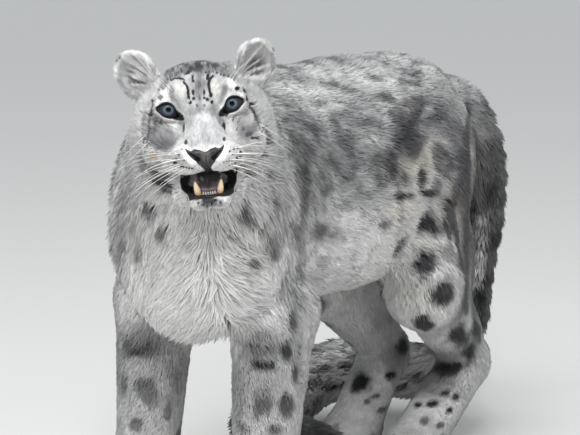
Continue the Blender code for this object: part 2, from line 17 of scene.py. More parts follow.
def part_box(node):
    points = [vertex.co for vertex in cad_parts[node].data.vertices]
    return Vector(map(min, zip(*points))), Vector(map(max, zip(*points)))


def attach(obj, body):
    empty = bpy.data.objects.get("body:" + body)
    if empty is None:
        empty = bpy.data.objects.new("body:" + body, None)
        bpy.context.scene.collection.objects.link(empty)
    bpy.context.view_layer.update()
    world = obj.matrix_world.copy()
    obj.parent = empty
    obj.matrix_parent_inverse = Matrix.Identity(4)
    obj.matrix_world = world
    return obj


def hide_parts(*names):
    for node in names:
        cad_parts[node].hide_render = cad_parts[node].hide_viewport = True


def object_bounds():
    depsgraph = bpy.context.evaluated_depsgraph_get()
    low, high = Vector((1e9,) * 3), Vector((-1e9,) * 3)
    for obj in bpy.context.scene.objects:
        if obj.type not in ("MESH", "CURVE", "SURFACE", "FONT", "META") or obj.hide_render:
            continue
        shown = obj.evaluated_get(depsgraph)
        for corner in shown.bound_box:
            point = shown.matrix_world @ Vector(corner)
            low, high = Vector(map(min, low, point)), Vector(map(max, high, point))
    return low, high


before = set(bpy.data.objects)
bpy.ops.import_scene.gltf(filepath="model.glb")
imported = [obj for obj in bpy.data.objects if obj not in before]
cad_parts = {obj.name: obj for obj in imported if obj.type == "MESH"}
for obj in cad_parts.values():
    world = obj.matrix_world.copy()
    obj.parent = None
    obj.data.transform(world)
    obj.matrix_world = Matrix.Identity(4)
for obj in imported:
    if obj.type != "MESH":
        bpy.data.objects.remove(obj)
cad_box = [list(map(float, v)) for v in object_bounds()]
# ------------------------------------------------------------------ measures
# Metres, +Z up.  While it is modelled, the animal stands over the point midway
# between its shoulders and hips: its left side is +X and it faces -Y.
CHEST_HALF_WIDTH = 0.112
RUMP_HALF_WIDTH = 0.096
SHOULDERS_Y, HIPS_Y = -0.285, 0.215          # where the legs carry the trunk
FORE_SPREAD = (0.083, 0.091)                 # left and right foreleg from the middle
EYES_AT = (0.108, -0.477, 0.567)             # midpoint between the two eyes
EYE_SPACING, EYE_RADIUS = 0.071, 0.014
HEAD_YAW, HEAD_PITCH, HEAD_ROLL = 32.2, 1.5, 5.4   # degrees: to the left, up, left side high
EAR_SIZE = (2.45, 0.95, 3.05)                # half width, thickness and height, cm
TAIL_KEYS = (                                # x, y, z and radius along the tail
    (0.000, 0.327, 0.512, 0.050), (0.010, 0.430, 0.492, 0.046), (0.026, 0.470, 0.425, 0.045), (0.028, 0.474, 0.340, 0.045),
    (0.017, 0.467, 0.250, 0.044), (0.006, 0.465, 0.160, 0.045), (-0.016, 0.463, 0.092, 0.046), (-0.070, 0.452, 0.072, 0.047),
    (-0.136, 0.410, 0.082, 0.048), (-0.178, 0.330, 0.072, 0.049), (-0.184, 0.235, 0.050, 0.049), (-0.158, 0.125, 0.0465, 0.048),
    (-0.095, 0.060, 0.0455, 0.047), (-0.020, 0.045, 0.038, 0.040))


def unit(v):
    v = np.asarray(v, float)
    return v / np.linalg.norm(v)


def turn(ax=0.0, ay=0.0, az=0.0):
    """Rotation by three angles in degrees, about x, then y, then z."""
    (sx, sy, sz), (cx, cy, cz) = np.sin(np.radians((ax, ay, az))), np.cos(np.radians((ax, ay, az)))
    rx = np.array(((1, 0, 0), (0, cx, -sx), (0, sx, cx)))
    ry = np.array(((cy, 0, sy), (0, 1, 0), (-sy, 0, cy)))
    rz = np.array(((cz, -sz, 0), (sz, cz, 0), (0, 0, 1)))
    return rz @ ry @ rx


def head_axes():
    """Columns: the head's left, forward and up."""
    a, b, r = np.radians((HEAD_YAW, HEAD_PITCH, HEAD_ROLL))
    f = np.array((math.sin(a) * math.cos(b), -math.cos(a) * math.cos(b), math.sin(b)))
    left = unit(np.cross((0, 0, 1), f))
    up = np.cross(f, left)
    return np.stack([left * math.cos(r) + up * math.sin(r), f, up * math.cos(r) - left * math.sin(r)], 1)


HEAD = head_axes()


def head_point(x, y, z):
    """A point of the head: centimetres left, forward and up of the midpoint between the eyes."""
    return np.array(EYES_AT) + HEAD @ (np.array((x, y, z)) * 0.01)


# ------------------------------------------------------------------ masses
# The body is a set of rounded masses.  A blob is an ellipsoid, a limb is a
# tapered round bar; each one runs into the rest with a fillet of its own.
class Mass:
    def __init__(self, part, blend, centre=None, radii=None, rot=None, a=None, b=None, ra=0.0, rb=0.0, flat=None):
        self.part, self.blend = part, blend
        self.is_blob = centre is not None
        if self.is_blob:
            self.c, self.r = np.array(centre, float), np.array(radii, float)
            self.rot = np.eye(3) if rot is None else np.asarray(rot, float)
            e = np.sqrt(((self.rot * self.r) ** 2).sum(1))
            self.lo, self.hi = self.c - e, self.c + e
        else:
            self.a, self.b, self.ra, self.rb = np.array(a, float), np.array(b, float), ra, rb
            self.flat = None if flat is None else (unit(flat[0]), flat[1])
            r = max(ra, rb)
            self.lo, self.hi = np.minimum(self.a, self.b) - r, np.maximum(self.a, self.b) + r

    def distance(self, p):
        if self.is_blob:
            q = (p - self.c) @ self.rot
            k0 = np.sqrt(((q / self.r) ** 2).sum(1))
            k1 = np.sqrt(((q / self.r ** 2) ** 2).sum(1))
            return np.maximum(k0 * (k0 - 1) / np.maximum(k1, 1e-9), -self.r.min())
        ab = self.b - self.a
        t = np.clip(((p - self.a) @ ab) / (ab @ ab), 0, 1)
        w = p - (self.a + t[:, None] * ab)
        scale = 1.0
        if self.flat is not None:
            axis, share = self.flat
            w = w + np.outer((w @ axis) * (1 / share - 1), axis)
            scale = 0.5 + 0.5 * share
        return (np.sqrt((w ** 2).sum(1)) - (self.ra + t * (self.rb - self.ra))) * scale

    def hull(self, v):
        """Where this mass puts the points v of a unit sphere."""
        if self.is_blob:
            if np.linalg.det(self.rot) < 0:
                v = v * (-1, 1, 1)
            return (v * self.r) @ self.rot.T + self.c
        z = unit(self.b - self.a)
        x = unit(np.cross((0, 0, 1) if abs(z[2]) < 0.9 else (0, 1, 0), z))
        m = np.stack([x, np.cross(z, x), z], 1)
        top = (v[:, 2] > 1e-6)[:, None]
        w = (v * np.where(top, self.rb, self.ra)) @ m.T
        if self.flat is not None:
            axis, share = self.flat
            w = w - np.outer(w @ axis, axis) * (1 - share)
        return w + np.where(top, self.b, self.a)


def blob(part, centre, radii, rot=None, blend=0.03):
    return Mass(part, blend, centre=centre, radii=radii, rot=rot)


def limb(part, a, b, ra, rb, flat=None, blend=0.03):
    return Mass(part, blend, a=a, b=b, ra=ra, rb=rb, flat=flat)


def head_blob(part, c, r, rot=None, blend=1.2):
    return blob(part, head_point(*c), np.array(r) * 0.01, HEAD if rot is None else HEAD @ rot, blend * 0.01)


def head_limb(part, a, b, ra, rb, flat=None, blend=1.2):
    if flat is not None:
        flat = (HEAD @ unit(flat[0]), flat[1])
    return limb(part, head_point(*a), head_point(*b), ra * 0.01, rb * 0.01, flat, blend * 0.01)


def trunk_masses():
    cw, rw = CHEST_HALF_WIDTH, RUMP_HALF_WIDTH
    out = [
        blob("trunk", (0, -0.11, 0.436), (cw, 0.22, 0.156), blend=0.05),               # rib cage
        blob("trunk", (0, -0.225, 0.485), (0.086, 0.135, 0.110), blend=0.05),          # withers
        blob("trunk", (0.004, -0.31, 0.392), (0.098, 0.108, 0.130), blend=0.05),       # breast
        blob("trunk", (0, 0.06, 0.408), (cw + 0.002, 0.20, 0.140), blend=0.06),        # belly
        blob("trunk", (0, 0.080, 0.468), (0.105, 0.205, 0.128), blend=0.05),           # loin
        blob("trunk", (0, 0.230, 0.452), (rw, 0.140, 0.138), blend=0.05),              # rump
        limb("neck", (0.012, -0.27, 0.475), (0.055, -0.385, 0.515), 0.100, 0.090, blend=0.06),
        blob("neck", (0.058, -0.385, 0.455), (0.092, 0.080, 0.092), blend=0.05),       # throat
        blob("neck", (0.035, -0.345, 0.42), (0.108, 0.088, 0.115), blend=0.05),        # ruff
    ]
    for side in (1, -1):
        out.append(blob("trunk", (side * 0.064, -0.262, 0.43), (0.048, 0.095, 0.118), turn(ax=-14), blend=0.04))
        out.append(blob("trunk", (side * 0.045, HIPS_Y + 0.005, 0.425), (0.050, 0.112, 0.138), turn(ax=12), blend=0.05))
    return out


def paw(part, x, y, half_width, half_length, yaw):
    """A broad paw: its pad and four toes, which the floor flattens."""
    r = turn(az=yaw)
    out = [blob(part, (x, y, 0.030), (half_width * 0.94, half_length, 0.036), r, blend=0.015)]
    for dx, dy, size in ((-0.66, -0.66, 0.88), (-0.24, -0.90, 1.0), (0.24, -0.90, 1.0), (0.66, -0.66, 0.88)):
        d = r @ np.array((dx * half_width, dy * half_length, 0))
        out.append(blob(part, (x + d[0], y + d[1], 0.0205), np.array((0.0150, 0.0250, 0.0235)) * size, r, blend=0.006))
    return out


def leg_masses():
    out = []
    for side, tag in ((1, "left"), (-1, "right")):
        p, x = "foreleg_" + tag, side * FORE_SPREAD[0 if side > 0 else 1]
        y = SHOULDERS_Y - (0.006 if side > 0 else 0.0)
        out += [
            limb(p, (side * 0.056, y - 0.020, 0.385), (x - side * 0.006, y + 0.030, 0.300), 0.050, 0.050, blend=0.035),  # upper arm
            limb(p, (x, y + 0.023, 0.300), (x, y - 0.003, 0.10), 0.052, 0.0395, blend=0.03),                            # forearm
            limb(p, (x, y - 0.003, 0.10), (x + side * 0.002, y - 0.020, 0.045), 0.0395, 0.041, blend=0.02),             # wrist
        ]
        out += paw(p, x + side * 0.002, y - 0.040, 0.049, 0.060, side * 3)
        if side > 0:
            knee, hock, foot, yaw = (0.086, 0.152, 0.272), (0.075, 0.322, 0.136), (0.068, 0.170), -3
        else:
            knee, hock, foot, yaw = (-0.086, 0.160, 0.273), (-0.062, 0.328, 0.136), (-0.052, 0.200), 4
        p, knee, hock = "hindleg_" + tag, np.array(knee), np.array(hock)
        hip = np.array((side * 0.044, HIPS_Y, 0.455))
        ball = (foot[0], foot[1] + 0.026, 0.046)
        out += [
            limb(p, hip + (0, 0.01, -0.03), knee, 0.075, 0.059, ((1, 0, 0), 0.80), blend=0.055),                    # thigh
            limb(p, knee + (0, 0.008, 0), hock + (0, -0.01, 0.008), 0.059, 0.038, ((1, 0, 0), 0.85), blend=0.035),  # shank
            limb(p, hip + (0, 0.040, -0.06), hock + (0, -0.022, 0.050), 0.055, 0.033, ((1, 0, 0), 0.75), blend=0.035),
            blob(p, (hip + knee + hock) / 3 + (side * 0.004, 0.014, 0.0), (0.040, 0.060, 0.070), blend=0.04),       # calf
            blob(p, hock + (0, 0.016, -0.006), (0.031, 0.033, 0.036), blend=0.02),                                 # heel
            limb(p, hock + (0, 0, -0.016), ball, 0.0375, 0.0385, blend=0.02),                                      # instep
        ]
        out += paw(p, foot[0], foot[1], 0.046, 0.058, yaw)
    return out


def spline(keys, per):
    """A Catmull-Rom curve through the keys, with per points a span."""
    k = np.array(keys, float)
    k = np.vstack([2 * k[0] - k[1], k, 2 * k[-1] - k[-2]])
    out = []
    for i in range(1, len(k) - 2):
        a, b, c, d = k[i - 1:i + 3]
        for t in np.arange(per) / per:
            out.append(0.5 * (2 * b + (c - a) * t + (2 * a - 5 * b + 4 * c - d) * t * t + (3 * b - a - 3 * c + d) * t ** 3))
    out.append(k[-2])
    return np.array(out)


def tail_masses():
    line = spline(TAIL_KEYS, 3)
    return [limb("tail", a[:3], b[:3], a[3], b[3], blend=0.006) for a, b in zip(line[:-1], line[1:])]


def ear_turn(side):
    return turn(ay=side * 15, az=-side * 16, ax=-6)


def head_masses():
    h, j = "head", "lower_jaw"
    out = [
        head_blob(h, (0, -6.3, 0.1), (6.3, 6.4, 4.9), blend=2.0),               # braincase
        head_blob(h, (0, -3.1, 1.4), (5.0, 3.5, 3.2), blend=2.0),               # forehead
        head_blob(h, (0, -3.3, -1.9), (6.9, 3.5, 4.0), blend=1.6),              # cheek bones
        head_limb(h, (0, -0.7, -0.1), (0, 4.6, -3.5), 2.15, 1.65, ((1, 0, 0), 0.95), blend=1.6),  # bridge of the nose
        head_blob(h, (0, 1.9, -4.7), (3.5, 3.9, 2.5), blend=1.6),               # muzzle
        head_blob(h, (0, 5.3, -5.0), (1.9, 1.5, 1.3), blend=0.8),               # end of the nose
        head_blob(h, (0, -5.4, -6.8), (6.0, 4.4, 4.4), blend=2.0),              # throat
        head_blob(j, (0, 3.2, -10.0), (2.3, 1.5, 0.95), blend=0.7),             # chin
    ]
    for s, tag in ((1, "left"), (-1, "right")):
        out += [
            head_blob(h, (s * 3.2, -1.0, 1.15), (2.2, 1.3, 1.1), blend=1.2),     # brow
            head_blob(h, (s * 4.5, -1.6, -4.4), (2.5, 3.2, 2.6), blend=1.8),     # cheek
            head_blob(h, (s * 5.3, -5.6, -3.2), (3.1, 3.2, 5.0), blend=1.8),     # whiskered side of the head
            head_blob(h, (s * 2.1, 4.05, -5.35), (2.2, 2.25, 1.75), blend=0.9),  # whisker pad
            head_limb(j, (s * 3.9, -4.8, -6.8), (s * 2.6, 0.0, -9.5), 2.3, 1.25, blend=1.2),
            head_limb(j, (s * 2.6, 0.0, -9.5), (s * 1.2, 3.1, -10.0), 1.25, 0.95, blend=1.0),
            head_blob("ear_" + tag, (s * 6.55, -5.0, 3.75), EAR_SIZE, rot=ear_turn(s), blend=0.8),
        ]
    return out


def ear_hollows():
    out = []
    for s in (1, -1):
        r = ear_turn(s)
        out.append(head_blob("ear", np.array((s * 6.55, -5.0, 3.75)) + r @ np.array((0, 1.15, 0.15)), (1.85, 1.25, 2.4), rot=r, blend=0.4))
    return out


MASSES = trunk_masses() + leg_masses() + tail_masses() + head_masses()
HOLLOWS = ear_hollows()


def smooth_min(a, b, k):
    h = np.maximum(k - np.abs(a - b), 0) / k
    return np.minimum(a, b) - h * h * k * 0.25


def field(p, masses=None, hollows=None, reach=0.12, floor=-0.006):
    """About the signed distance from the outside of the coat, negative inside."""
    p = np.asarray(p, float)
    out = np.full(len(p), reach)
    for m in (MASSES if masses is None else masses):
        near = np.nonzero(((p > m.lo - reach) & (p < m.hi + reach)).all(1))[0]
        if len(near):
            out[near] = smooth_min(out[near], m.distance(p[near]), m.blend)
    for m in (HOLLOWS if hollows is None else hollows):
        near = np.nonzero(((p > m.lo - 0.02) & (p < m.hi + 0.02)).all(1))[0]
        if len(near):
            out[near] = -smooth_min(-out[near], m.distance(p[near]), m.blend)
    return np.maximum(out, floor - p[:, 2])


def slope(p, f, h=0.0006):
    """The unit gradient of f at p, and its size."""
    g = np.empty_like(p)
    for i in range(3):
        e = np.zeros(3)
        e[i] = h
        g[:, i] = (f(p + e) - f(p - e)) / (2 * h)
    n = np.linalg.norm(g, axis=1)
    return g / np.maximum(n, 1e-9)[:, None], n


def settle(mesh, f, rounds=2, cap=0.01):
    """Moves a mesh's points onto the surface where f is 0."""
    p = np.empty(len(mesh.vertices) * 3, np.float32)
    mesh.vertices.foreach_get("co", p)
    p = p.reshape(-1, 3).astype(float)
    for _ in range(rounds):
        g, n = slope(p, f)
        p -= g * np.clip(f(p) / np.maximum(n, 0.3), -cap, cap)[:, None]
    mesh.vertices.foreach_set("co", p.ravel().astype(np.float32))
    mesh.update()


def evaluated(obj):
    """The object's mesh with its modifiers applied, the object removed."""
    mesh = bpy.data.meshes.new_from_object(obj.evaluated_get(bpy.context.evaluated_depsgraph_get()))
    bpy.data.objects.remove(obj)
    return mesh


def voxel_skin(mesh, size):
    obj = bpy.data.objects.new("skin_work", mesh)
    bpy.context.scene.collection.objects.link(obj)
    mod = obj.modifiers.new("Remesh", "REMESH")
    mod.mode, mod.voxel_size = "VOXEL", size
    return evaluated(obj)


def mass_skin(masses, rough, fine, f=None):
    """One closed skin over the masses: round pieces joined by voxels, then moved onto the blended surface."""
    bm = bmesh.new()
    bmesh.ops.create_uvsphere(bm, u_segments=20, v_segments=12, radius=1)
    ball = bpy.data.meshes.new("ball")
    bm.to_mesh(ball)
    count = len(bm.verts)
    v = np.array([x.co[:] for x in bm.verts])
    bm.clear()
    for m in masses:
        bm.from_mesh(ball)
        bm.verts.ensure_lookup_table()
        for vert, co in zip(bm.verts[-count:], m.hull(v)):
            vert.co = co
    mesh = bpy.data.meshes.new("masses")
    bm.to_mesh(mesh)
    bm.free()
    f = f or (lambda p: field(p, masses=masses))
    mesh = voxel_skin(mesh, rough)
    settle(mesh, f, 2, 0.02)
    mesh = voxel_skin(mesh, fine)
    settle(mesh, f, 2)
    return mesh


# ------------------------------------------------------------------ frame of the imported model
eye_lo, eye_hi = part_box("eye_left")
SHIFT = (np.array(eye_lo) + np.array(eye_hi)) / 2 - head_point(EYE_SPACING * 50, -1.25, 0)

# the camera, in the body's frame
CAM_AT, CAM_AZ, CAM_PITCH, FOCAL, FRAME_W, FRAME_H = np.array((1.252, -2.336, 0.75)), math.radians(29.0), math.radians(8.0), 1972.0, 580, 435
CAM_FORWARD = np.array((-math.sin(CAM_AZ) * math.cos(CAM_PITCH), math.cos(CAM_AZ) * math.cos(CAM_PITCH), -math.sin(CAM_PITCH)))
CAM_RIGHT = unit(np.cross(CAM_FORWARD, (0, 0, 1)))
CAM_UP = np.cross(CAM_RIGHT, CAM_FORWARD)


def in_frame(p):
    """Where points lie in the frame, and how far away they are."""
    d = np.asarray(p, float) - CAM_AT
    w = d @ CAM_FORWARD
    return np.stack([FRAME_W / 2 + FOCAL * (d @ CAM_RIGHT) / w, FRAME_H / 2 - FOCAL * (d @ CAM_UP) / w], 1), w


def local(p):
    """Points in the head's frame, cm."""
    return (np.asarray(p, float) - np.array(EYES_AT)) @ HEAD * 100


def smoothstep(a, b, x):
    t = np.clip((x - a) / (b - a), 0, 1)
    return t * t * (3 - 2 * t)


_table = np.random.default_rng(7).random((32, 32, 32))


def noise(p, size, seed=0):
    """Smooth noise from 0 to 1, size metres from hill to hill."""
    q = np.asarray(p, float) / size + seed * 7.31
    i = np.floor(q).astype(int)
    f = q - i
    f = f * f * (3 - 2 * f)
    out = 0
    for dx in (0, 1):
        for dy in (0, 1):
            for dz in (0, 1):
                w = (f[:, 0] if dx else 1 - f[:, 0]) * (f[:, 1] if dy else 1 - f[:, 1]) * (f[:, 2] if dz else 1 - f[:, 2])
                out = out + w * _table[(i[:, 0] + dx) % 32, (i[:, 1] + dy) % 32, (i[:, 2] + dz) % 32]
    return out


# ------------------------------------------------------------------ the coat's measures, one set for each mass
# depth of the coat and width of a tuft in mm, length over depth, how white, and the lie
BACK, DOWN = (0, 1, -0.25), (0, 0.15, -1)
TRUNK_COAT = [  # rib cage, withers, breast, belly, loin, rump, neck, throat, ruff, then shoulder and haunch of each side
    (13, 1.25, 2.3, 0.40, BACK), (12, 1.25, 2.3, 0.38, BACK), (26, 1.35, 1.9, 1.0, (0, 0.35, -1)), (20, 1.4, 2.1, 0.80, (0, 1, -0.5)),
    (12, 1.25, 2.3, 0.42, BACK), (11, 1.25, 2.4, 0.42, BACK), (16, 1.3, 2.2, 0.38, (0.0, 1, -0.35)), (20, 1.3, 2.0, 1.0, DOWN), (24, 1.35, 1.9, 0.92, DOWN),
    (11, 1.2, 2.3, 0.40, (0, 0.55, -1)), (11, 1.25, 2.3, 0.66, (0, 1, -0.7))]
LEG_COAT = [  # upper arm, forearm, wrist, pad, four toes; thigh, shank, back of the thigh, calf, heel, instep, pad, four toes
    (9, 1.2, 2.3, 0.50, None), (6.5, 1.1, 2.3, 0.55, None), (4.5, 1.0, 2.4, 0.62, None), (3, 0.9, 2.6, 0.70, None)] + [(2.4, 0.85, 2.8, 0.74, None)] * 4 + [
    (10, 1.2, 2.4, 0.62, None), (8, 1.15, 2.4, 0.58, None), (10, 1.2, 2.4, 0.50, None), (9, 1.2, 2.4, 0.60, None), (5.5, 1.05, 2.4, 0.75, (0, 0.35, -1)),
    (5, 1.0, 2.5, 0.70, None), (3, 0.9, 2.6, 0.72, (0, -1, -0.3))] + [(2.4, 0.85, 2.8, 0.76, (0, -1, -0.35))] * 4
HEAD_COAT = [  # braincase, forehead, cheek bones, bridge, muzzle, end of the nose, throat, chin
    (3.0, 0.70, 2.2, 0.42), (1.6, 0.58, 2.3, 0.72), (2.0, 0.62, 2.3, 0.74), (0.9, 0.45, 3.2, 0.62), (1.2, 0.50, 2.7, 0.92), (0.7, 0.42, 3.0, 0.75), (10, 1.25, 2.2, 0.95), (2.0, 0.62, 2.5, 1.0)]
SIDE_COAT = [   # brow, cheek, whiskered side, whisker pad, two jaw bars, ear
    (1.6, 0.55, 2.4, 0.80), (2.6, 0.70, 2.2, 0.86), (8, 1.10, 2.2, 0.78), (1.2, 0.48, 2.6, 0.98), (4.0, 0.9, 2.4, 0.95), (2.0, 0.62, 2.4, 1.0), (1.0, 0.60, 4.4, 0.62)]
PARTS = ("head", "ear", "neck", "trunk", "foreleg_left", "foreleg_right", "hindleg_left", "hindleg_right", "tail")


def coat_table():
    rows = []
    trunk, legs, tail, head = trunk_masses(), leg_masses(), tail_masses(), head_masses()
    measures = TRUNK_COAT[:9] + TRUNK_COAT[9:] * 2
    for m, (d, w, k, white, lie) in zip(trunk, measures):
        rows.append((m, m.part, d, w, k, white, lie))
    for m, (d, w, k, white, lie) in zip(legs, LEG_COAT * 2):
        if lie is None:
            lie = tuple(m.b - m.a) if not m.is_blob else (0, 0.5, -1) if d > 5 else (0, -1, -0.35)
        rows.append((m, m.part, d, w, k, white, lie))
    for i, m in enumerate(tail):
        rows.append((m, "tail", 16 - 3 * (i > len(tail) - 3), 1.35, 2.2, 0.45, tuple(m.b - m.a)))
    for m, (d, w, k, white) in zip(head, HEAD_COAT + SIDE_COAT * 2):
        rows.append((m, "ear" if m.part.startswith("ear") else "head", d, w, k, white, (0, 0, 0)))
    return rows


COAT_TABLE = coat_table()
COLUMNS = np.array([[d * 0.001, w * 0.001, k, white, *(np.array(lie) / max(np.linalg.norm(lie), 1e-9))] + [float(part == q) for q in PARTS]
                    for m, part, d, w, k, white, lie in COAT_TABLE])


def measures(p, sharp=0.018):
    """The coat's measures at points, blended from the masses round them, and each part's share."""
    total = np.full((len(p), 1), 1e-9)
    out = np.zeros((len(p), COLUMNS.shape[1]))
    for (m, *_), row in zip(COAT_TABLE, COLUMNS):
        near = np.nonzero(((p > m.lo - 0.09) & (p < m.hi + 0.09)).all(1))[0]
        if len(near):
            w = np.exp(-np.clip(m.distance(p[near]), -0.06, 0.2) / sharp)[:, None]
            total[near] += w
            out[near] += w * row
    return out / total


def depth_at(p):
    return measures(p)[:, 0]


# ------------------------------------------------------------------ eyes, nose and mouth in the skin
EYE_HOLE = ((-1.30, -0.98), (-0.80, -0.20), (-0.52, 0.42), (-0.02, 0.76), (0.58, 0.74), (1.10, 0.48), (1.50, 0.30), (1.02, -0.22), (0.62, -0.62),
            (0.10, -0.86), (-0.45, -0.94), (-0.90, -1.02))    # cm outwards and up from the middle of the eye
NOSE_TOP_EDGE = ((0, -4.52), (0.20, -4.47), (0.58, -4.25), (1.13, -4.14), (1.51, -4.33), (1.84, -4.19), (2.12, -3.99))
NOSE_LOW_EDGE = ((0, -6.85), (0.17, -6.80), (0.23, -6.45), (0.43, -6.22), (0.70, -5.89), (1.08, -5.49), (1.54, -4.97), (1.95, -4.46), (2.12, -4.05))
NOSE_SHAPE = [(x, z) for x, z in NOSE_TOP_EDGE[::-1]] + [(-x, z) for x, z in NOSE_TOP_EDGE[1:]] + [(-x, z) for x, z in NOSE_LOW_EDGE[-2:1:-1]] + [(x, z) for x, z in NOSE_LOW_EDGE[2:-1]]
MOUTH = head_blob("mouth", (0, 1.75, -8.12), (2.75, 4.95, 1.10), rot=turn(ax=-3), blend=0.35)
EYE_MIDDLE = np.array((EYE_SPACING * 50, -1.25, 0.0))
LIDS = [head_blob("lid", (s * EYE_MIDDLE[0], -1.25, 0.0), (1.56, 1.56, 1.56), blend=0.5) for s in (1, -1)]


def outer(p):
    return field(p, hollows=HOLLOWS + [MOUTH])


def skin_field(p, depth):
    """0 on the skin: the outside of the coat less the coat's depth there, with the lids round the eyes."""
    f = outer(p) + depth
    for m in LIDS:
        near = np.nonzero(((p > m.lo - 0.03) & (p < m.hi + 0.03)).all(1))[0]
        if len(near):
            f[near] = smooth_min(f[near], m.distance(p[near]), m.blend)
    return np.maximum(f, 0.0012 - p[:, 2])


def inside_curve(q, keys, per=6):
    """Signed distance of 2-D points from a closed smooth curve, negative inside, cm."""
    k = np.array(keys, float)
    n = len(k)
    line = []
    for i in range(n):
        a, b, c, d = (k[(i + j) % n] for j in (-1, 0, 1, 2))
        for t in np.arange(per) / per:
            line.append(0.5 * (2 * b + (c - a) * t + (2 * a - 5 * b + 4 * c - d) * t * t + (3 * b - a - 3 * c + d) * t ** 3))
    line = np.array(line)
    best, odd = np.full(len(q), 1e9), np.zeros(len(q), bool)
    for a, b in zip(line, np.roll(line, -1, 0)):
        ab = b - a
        t = np.clip(((q - a) @ ab) / (ab @ ab), 0, 1)
        best = np.minimum(best, np.hypot(*(q - a - t[:, None] * ab).T))
        cross = ((a[1] > q[:, 1]) != (b[1] > q[:, 1])) & (q[:, 0] < (b[0] - a[0]) * (q[:, 1] - a[1]) / (b[1] - a[1] + 1e-12) + a[0])
        odd ^= cross
    return np.where(odd, -best, best)


def open_mouth(mesh):
    """The mesh less the space of the mouth."""
    bm = bmesh.new()
    bmesh.ops.create_uvsphere(bm, u_segments=40, v_segments=24, radius=1)
    for v, co in zip(bm.verts, MOUTH.hull(np.array([x.co[:] for x in bm.verts]))):
        v.co = co
    ball = bpy.data.meshes.new("mouth_space")
    bm.to_mesh(ball)
    bm.free()
    a, b = bpy.data.objects.new("a", mesh), bpy.data.objects.new("b", ball)
    for o in (a, b):
        bpy.context.scene.collection.objects.link(o)
    mod = a.modifiers.new("Boolean", "BOOLEAN")
    mod.operation, mod.solver, mod.object = "DIFFERENCE", "EXACT", b
    out = evaluated(a)
    bpy.data.objects.remove(b)
    return out


def all_masses_mesh():
    bm = bmesh.new()
    bmesh.ops.create_uvsphere(bm, u_segments=20, v_segments=12, radius=1)
    ball = bpy.data.meshes.new("ball")
    bm.to_mesh(ball)
    v = np.array([x.co[:] for x in bm.verts])
    bm.clear()
    for m in MASSES:
        bm.from_mesh(ball)
        bm.verts.ensure_lookup_table()
        for vert, co in zip(bm.verts[-len(v):], m.hull(v)):
            vert.co = co
    mesh = bpy.data.meshes.new("masses")
    bm.to_mesh(mesh)
    bm.free()
    return mesh


def points_of(mesh):
    p = np.empty(len(mesh.vertices) * 3, np.float32)
    mesh.vertices.foreach_get("co", p)
    return p.reshape(-1, 3).astype(float)


def put_points(mesh, p):
    mesh.vertices.foreach_set("co", np.ascontiguousarray(p, np.float32).ravel())
    mesh.update()


def normals_of(mesh):
    n = np.empty(len(mesh.vertices) * 3, np.float32)
    mesh.vertices.foreach_get("normal", n)
    return n.reshape(-1, 3).astype(float)


def finer(mesh, chosen):
    """Cuts each face whose points are all chosen, chosen(points) -> bool, into four."""
    bm = bmesh.new()
    bm.from_mesh(mesh)
    keep = chosen(np.array([v.co[:] for v in bm.verts]))
    edges = {e for f in bm.faces if all(keep[v.index] for v in f.verts) for e in f.edges}
    bmesh.ops.subdivide_edges(bm, edges=list(edges), cuts=1, use_grid_fill=True)
    bmesh.ops.triangulate(bm, faces=[f for f in bm.faces if len(f.verts) > 4])
    bm.to_mesh(mesh)
    bm.free()
    mesh.update()


def newton(p, f, rounds, cap):
    """Points moved onto the surface where f is 0."""
    for _ in range(rounds):
        here, g = f(p), np.empty_like(p)
        for i in range(3):
            e = np.zeros(3)
            e[i] = 0.0005
            g[:, i] = (f(p + e) - here) / 0.0005
        n = np.linalg.norm(g, axis=1)
        p = p - g / np.maximum(n, 1e-9)[:, None] * np.clip(here / np.maximum(n, 0.35), -cap, cap)[:, None]
    return p


def onto_skin(mesh, rounds, cap, only=None, share=1.0):
    p = points_of(mesh)
    pick = np.arange(len(p)) if only is None else np.nonzero(only(p))[0]
    depth = depth_at(p[pick]) * share
    p[pick] = newton(p[pick], lambda q: skin_field(q, depth), rounds, cap)
    put_points(mesh, p)


def relax(mesh, rounds=2, share=0.5):
    """Evens out a mesh's points."""
    bm = bmesh.new()
    bm.from_mesh(mesh)
    for _ in range(rounds):
        bmesh.ops.smooth_vert(bm, verts=bm.verts[:], factor=share, use_axis_x=True, use_axis_y=True, use_axis_z=True)
    bm.to_mesh(mesh)
    bm.free()


work = all_masses_mesh()
work = voxel_skin(work, 0.008)
put_points(work, newton(points_of(work), field, 2, 0.02))
work = open_mouth(work)
work = voxel_skin(work, 0.0052)
put_points(work, newton(points_of(work), outer, 2, 0.01))
outside = work.copy()
OUT_P, OUT_N = points_of(outside), normals_of(outside)
_faces = [tuple(f.vertices) for f in outside.polygons]
OUT_TREE = BVHTree.FromPolygons([Vector(v) for v in OUT_P], _faces)


def in_face(q, x=9.6, y0=-8.0, z0=-12.5, z1=8.0):
    return (np.abs(q[:, 0]) < x) & (q[:, 1] > y0) & (q[:, 2] > z0) & (q[:, 2] < z1)


def near_eyes(q, r=2.3):
    return (np.hypot(np.abs(q[:, 0]) - EYE_MIDDLE[0], q[:, 2]) < r) & (q[:, 1] > -2.6)


def near_lips(q):
    return (np.abs(q[:, 0]) < 4.1) & (q[:, 2] < -6.2) & (q[:, 2] > -10.9) & (q[:, 1] > 0.8)


